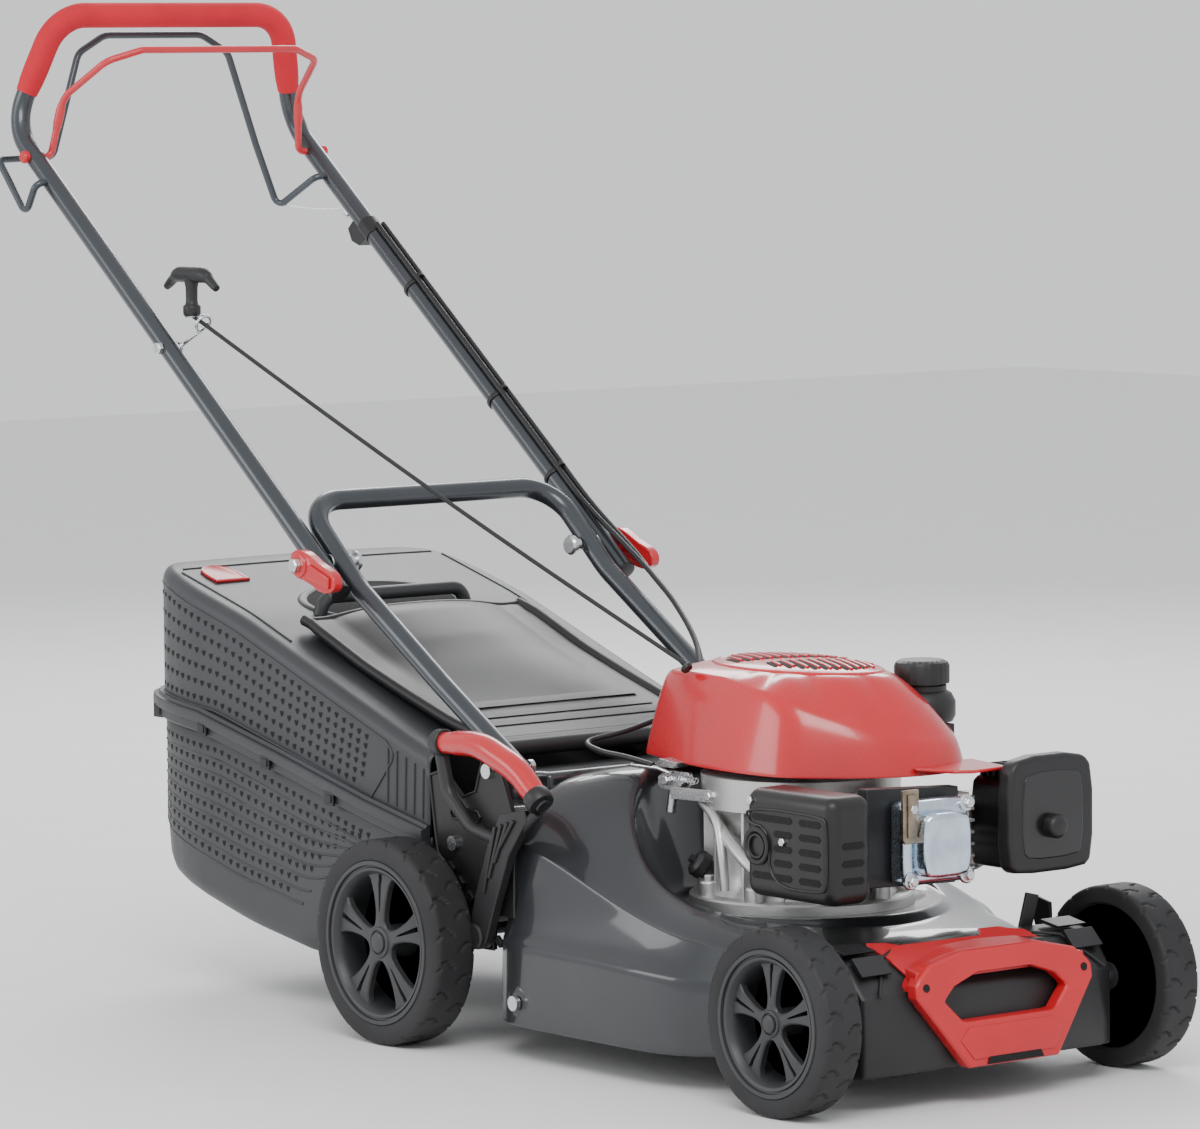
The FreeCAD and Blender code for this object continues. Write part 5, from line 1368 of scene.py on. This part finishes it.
for s, tag in ((-1, "right"), (1, "left")):
    plate = [(8, 272), (30, 279), (62, 254), (84, 262), (96, 296), (124, 290), (146, 240), (146, 140),
        (111.6, 140),
             (111.6, 104), (86, 104), (19, 196)]
    flat = slab("plate", plate, "Y", s * 199, s * 203.4)
    rim_line = [at(x, s * 203.6, z) for x, z in plate + plate[:1]]
    rim = sweep("plate_rim", rim_line, 1.7, 8)
    slot_ring = [(46, 231), (88, 231), (92, 236.5), (88, 242), (46, 242), (42, 236.5)]
    boss = sweep("slot_rim", [at(x, s * 204, z) for x, z in slot_ring + slot_ring[:1]], 1.5, 8)
    finish(join("lever_plate_" + tag, [flat, rim, boss]), "chassis", "guard_black",
           ["handle_brackets"] if s < 0 else (), bevel=0.6)
    # the slot is backed by a near-black sheet of painted shade
    hollow = slab("slot_dark", slot_ring, "Y", s * 203.2, s * 203.7)
    finish(hollow, "chassis", "painted_shade")
teeth = []
for k in range(7):
    x, z = 40 + 15.5 * k, 182 - 13.5 * k
    teeth.append(prism("tooth", [(x, z), (x + 8, z - 7), (x + 12, z - 1), (x + 4, z + 6)], "Y", -208, -203.4))
finish(join("rack_teeth", teeth), "chassis", "guard_black", bevel=0.6)


# ---------------------------------------------------------------- cables and small engine parts
def curve(points, per=14):
    """A smooth line through the points."""
    path = []
    ends = [points[0] * 2 - points[1]] + points + [points[-1] * 2 - points[-2]]
    for a, b, c, d in zip(ends, ends[1:], ends[2:], ends[3:]):
        for k in range(per):
            t = k / per
            path.append(0.5 * ((b * 2) + (c - a) * t + (a * 2 - b * 5 + c * 4 - d) * t * t
                               + (b * 3 - a - c * 3 + d) * t * t * t))
    path.append(points[-1])
    return path


LIFT = 0.0158
sheaths = []
for tag, dy in (("brake", -4.2), ("drive", 4.2)):
    top = [on_tube(z, TUBE_Y + dy) + OUTWARD * LIFT for z in (800, 740, 680, 620, 560, 505)]
    low = [at(-137, 184 + dy * 0.5, 466), at(-100, 176, 448), at(-40, 160, 420), at(30, 130, 386),
        at(90, 88, 352)]
    if tag == "brake":
        low += [at(122, 30, 332), at(128, -36, 316), at(118, -84, 306), at(150, -96, 300),
            at(190, -94, 297), at(228, -90, 292)]
    else:
        low += [at(122, 66, 322), at(127, 58, 304), at(127, 56, 286)]
    sheaths.append(sweep(tag + "_sheath", curve(top + low), 3.0, 12))
cables = join("control_sheaths", sheaths)
finish(cables, None, "cable_sheath", ["control_cables"], sharp=60)
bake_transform(cables)

wire = sweep("bail_wire", rope_line(at(-752, 158, 833), at(-664, 189, 828), 0.003, 16), 0.9, 8)
finish(wire, "upper_handle", "zinc", sharp=60)

small = [sweep("rod", [at(196, -92, 290), at(236, -90, 290), at(250, -86, 286)], 2.6, 10),
         prism("plate", [(228, 268), (276, 268), (280, 276), (276, 288), (240, 288), (228, 280)], "Y",
             -84, -79),
         prism("plate", [(262, 262), (330, 264), (334, 270), (330, 276), (262, 274)], "Y", -96, -92),
         prism("arm", [(232, 292), (262, 292), (268, 298), (240, 300)], "Y", -92, -74),
         stud("nut", at(244, -84, 278), (0, -1, 0), 5.5, 5),
         stud("nut", at(268, -84, 278), (0, -1, 0), 5.5, 5),
         stud("nut", at(324, -96, 270), (0, -1, 0), 5, 4),
         sweep("spring", [at(256 + 0.9 * k, -90 + 3.2 * math.cos(k * 1.3), 282 + 3.2 * math.sin(k * 1.3))
                          for k in range(46)], 0.8, 6),
         stud("post", at(238, -76, 244), (0, 0.2, 1), 5, 30, 1.5, 2, 16)]
finish(join("linkage_parts", small), "chassis", "zinc", ["brake_linkage"], bevel=0.4)
block_parts = []
for k in range(7):
    z = 206 + 11.5 * k
    block_parts.append(prism("fin", [(452, -62), (540, -62), (540, 60), (452, 60)], "Z", z, z + 3.2))
block_parts.append(prism("head", [(470, -54), (541, -54), (541, 52), (470, 52)], "Z", 204, 282))
finish(join("cylinder_fins", block_parts), "chassis", "cast_alu", ["cylinder"], bevel=0.8)
pipe = sweep("breather", curve([at(300, -86, 262), at(336, -98, 246), at(352, -104, 214),
    at(356, -104, 180)]), 5.0, 14)
pipe_b = sweep("breather_b", curve([at(318, -88, 252), at(350, -98, 232), at(384, -104, 214),
    at(410, -100, 196)]), 6.0, 14)
finish(join("crankcase_pipes", [pipe, pipe_b]), "chassis", "cast_alu", sharp=60)
shield = [prism("shield", [(-84, 200), (30, 196), (34, 206), (34, 290), (-84, 296)], "X", 530, 545)]
finish(join("head_gasket", shield), "chassis", "black_plastic", bevel=1.2)
tab = [prism("tab", [(-62, 244), (-48, 244), (-45, 248), (-45, 296), (-65, 296), (-65, 248)], "X", 572, 576),
       prism("tabfold", [(-60, 250), (-50, 250), (-50, 292), (-60, 292)], "X", 576, 578)]
finish(join("plug_clip", tab), "chassis", "hot_steel", ["spark_plug"], bevel=0.6)
dirt = [lathe("carb_cup", [(17, 0), (17, 26), (15, 30), (8, 34), (0, 34)], at(484, 104, 230), (0, 0, -1), 32),
        prism("carb_body", [(462, 84), (508, 84), (508, 124), (462, 124)], "Z", 230, 272),
        lathe("carb_drain", [(5, 0), (5, 8), (0, 8)], at(484, 104, 197), (0, 0, -1), 6),
        lathe("carb_inlet", [(13, 0), (13, 34)], at(484, 52, 250), (0, 1, 0), 28)]
finish(join("carburettor_parts", dirt), "chassis", "cast_alu", ["carburettor"], bevel=0.8)

# ---------------------------------------------------------------- floor, light and camera
floor_mesh = bpy.data.meshes.new("floor")
floor_mesh.from_pydata([(-9, -9, 0), (9, -9, 0), (9, 9, 0), (-9, 9, 0)], [], [(0, 1, 2, 3)])
floor = bpy.data.objects.new("floor", floor_mesh)
bpy.context.scene.collection.objects.link(floor)
floor_mesh.materials.append(surface("floor_pale", (0.86, 0.86, 0.86), 0.75, grain=60.0, bump=0.02,
    spread=0.01))

world = bpy.data.worlds.new("studio")
bpy.context.scene.world = world
world.use_nodes = True
world.node_tree.nodes["Background"].inputs["Color"].default_value = (0.97, 0.98, 1.0, 1)
world.node_tree.nodes["Background"].inputs["Strength"].default_value = 0.98


def light(name, spot, target, power, width, height):
    """A soft panel of light facing a point."""
    data = bpy.data.lights.new(name, "AREA")
    data.shape = "RECTANGLE"
    data.size, data.size_y, data.energy = width, height, power
    lamp = bpy.data.objects.new(name, data)
    bpy.context.scene.collection.objects.link(lamp)
    lamp.location = spot
    lamp.rotation_euler = (Vector(target) - Vector(spot)).to_track_quat("-Z", "Y").to_euler()


light("key", (2.6, -2.2, 3.4), (0, 0, 0.4), 110, 2.6, 1.6)
light("side", (-1.6, -3.6, 1.6), (0, 0, 0.4), 40, 2.4, 1.4)
light("rim", (-2.6, 2.4, 2.6), (0, 0, 0.5), 80, 2.4, 1.2)

camera_data = bpy.data.cameras.new("camera")
camera_data.sensor_width = 36.0
camera_data.lens = 176.46
camera = bpy.data.objects.new("camera", camera_data)
bpy.context.scene.collection.objects.link(camera)
azimuth, elevation, roll = math.radians(51.36), math.radians(4.94), math.radians(-0.48)
back = Vector((math.sin(azimuth) * math.cos(elevation), -math.cos(azimuth) * math.cos(elevation),
               math.sin(elevation)))
right = Vector((math.cos(azimuth), math.sin(azimuth), 0))
up = back.cross(right)
side = right * math.cos(roll) + up * math.sin(roll)
camera.matrix_world = Matrix.Translation(at(4760, -3779, 999)) @ Matrix(
    (side, back.cross(side), back)).transposed().to_4x4()
bpy.context.scene.camera = camera
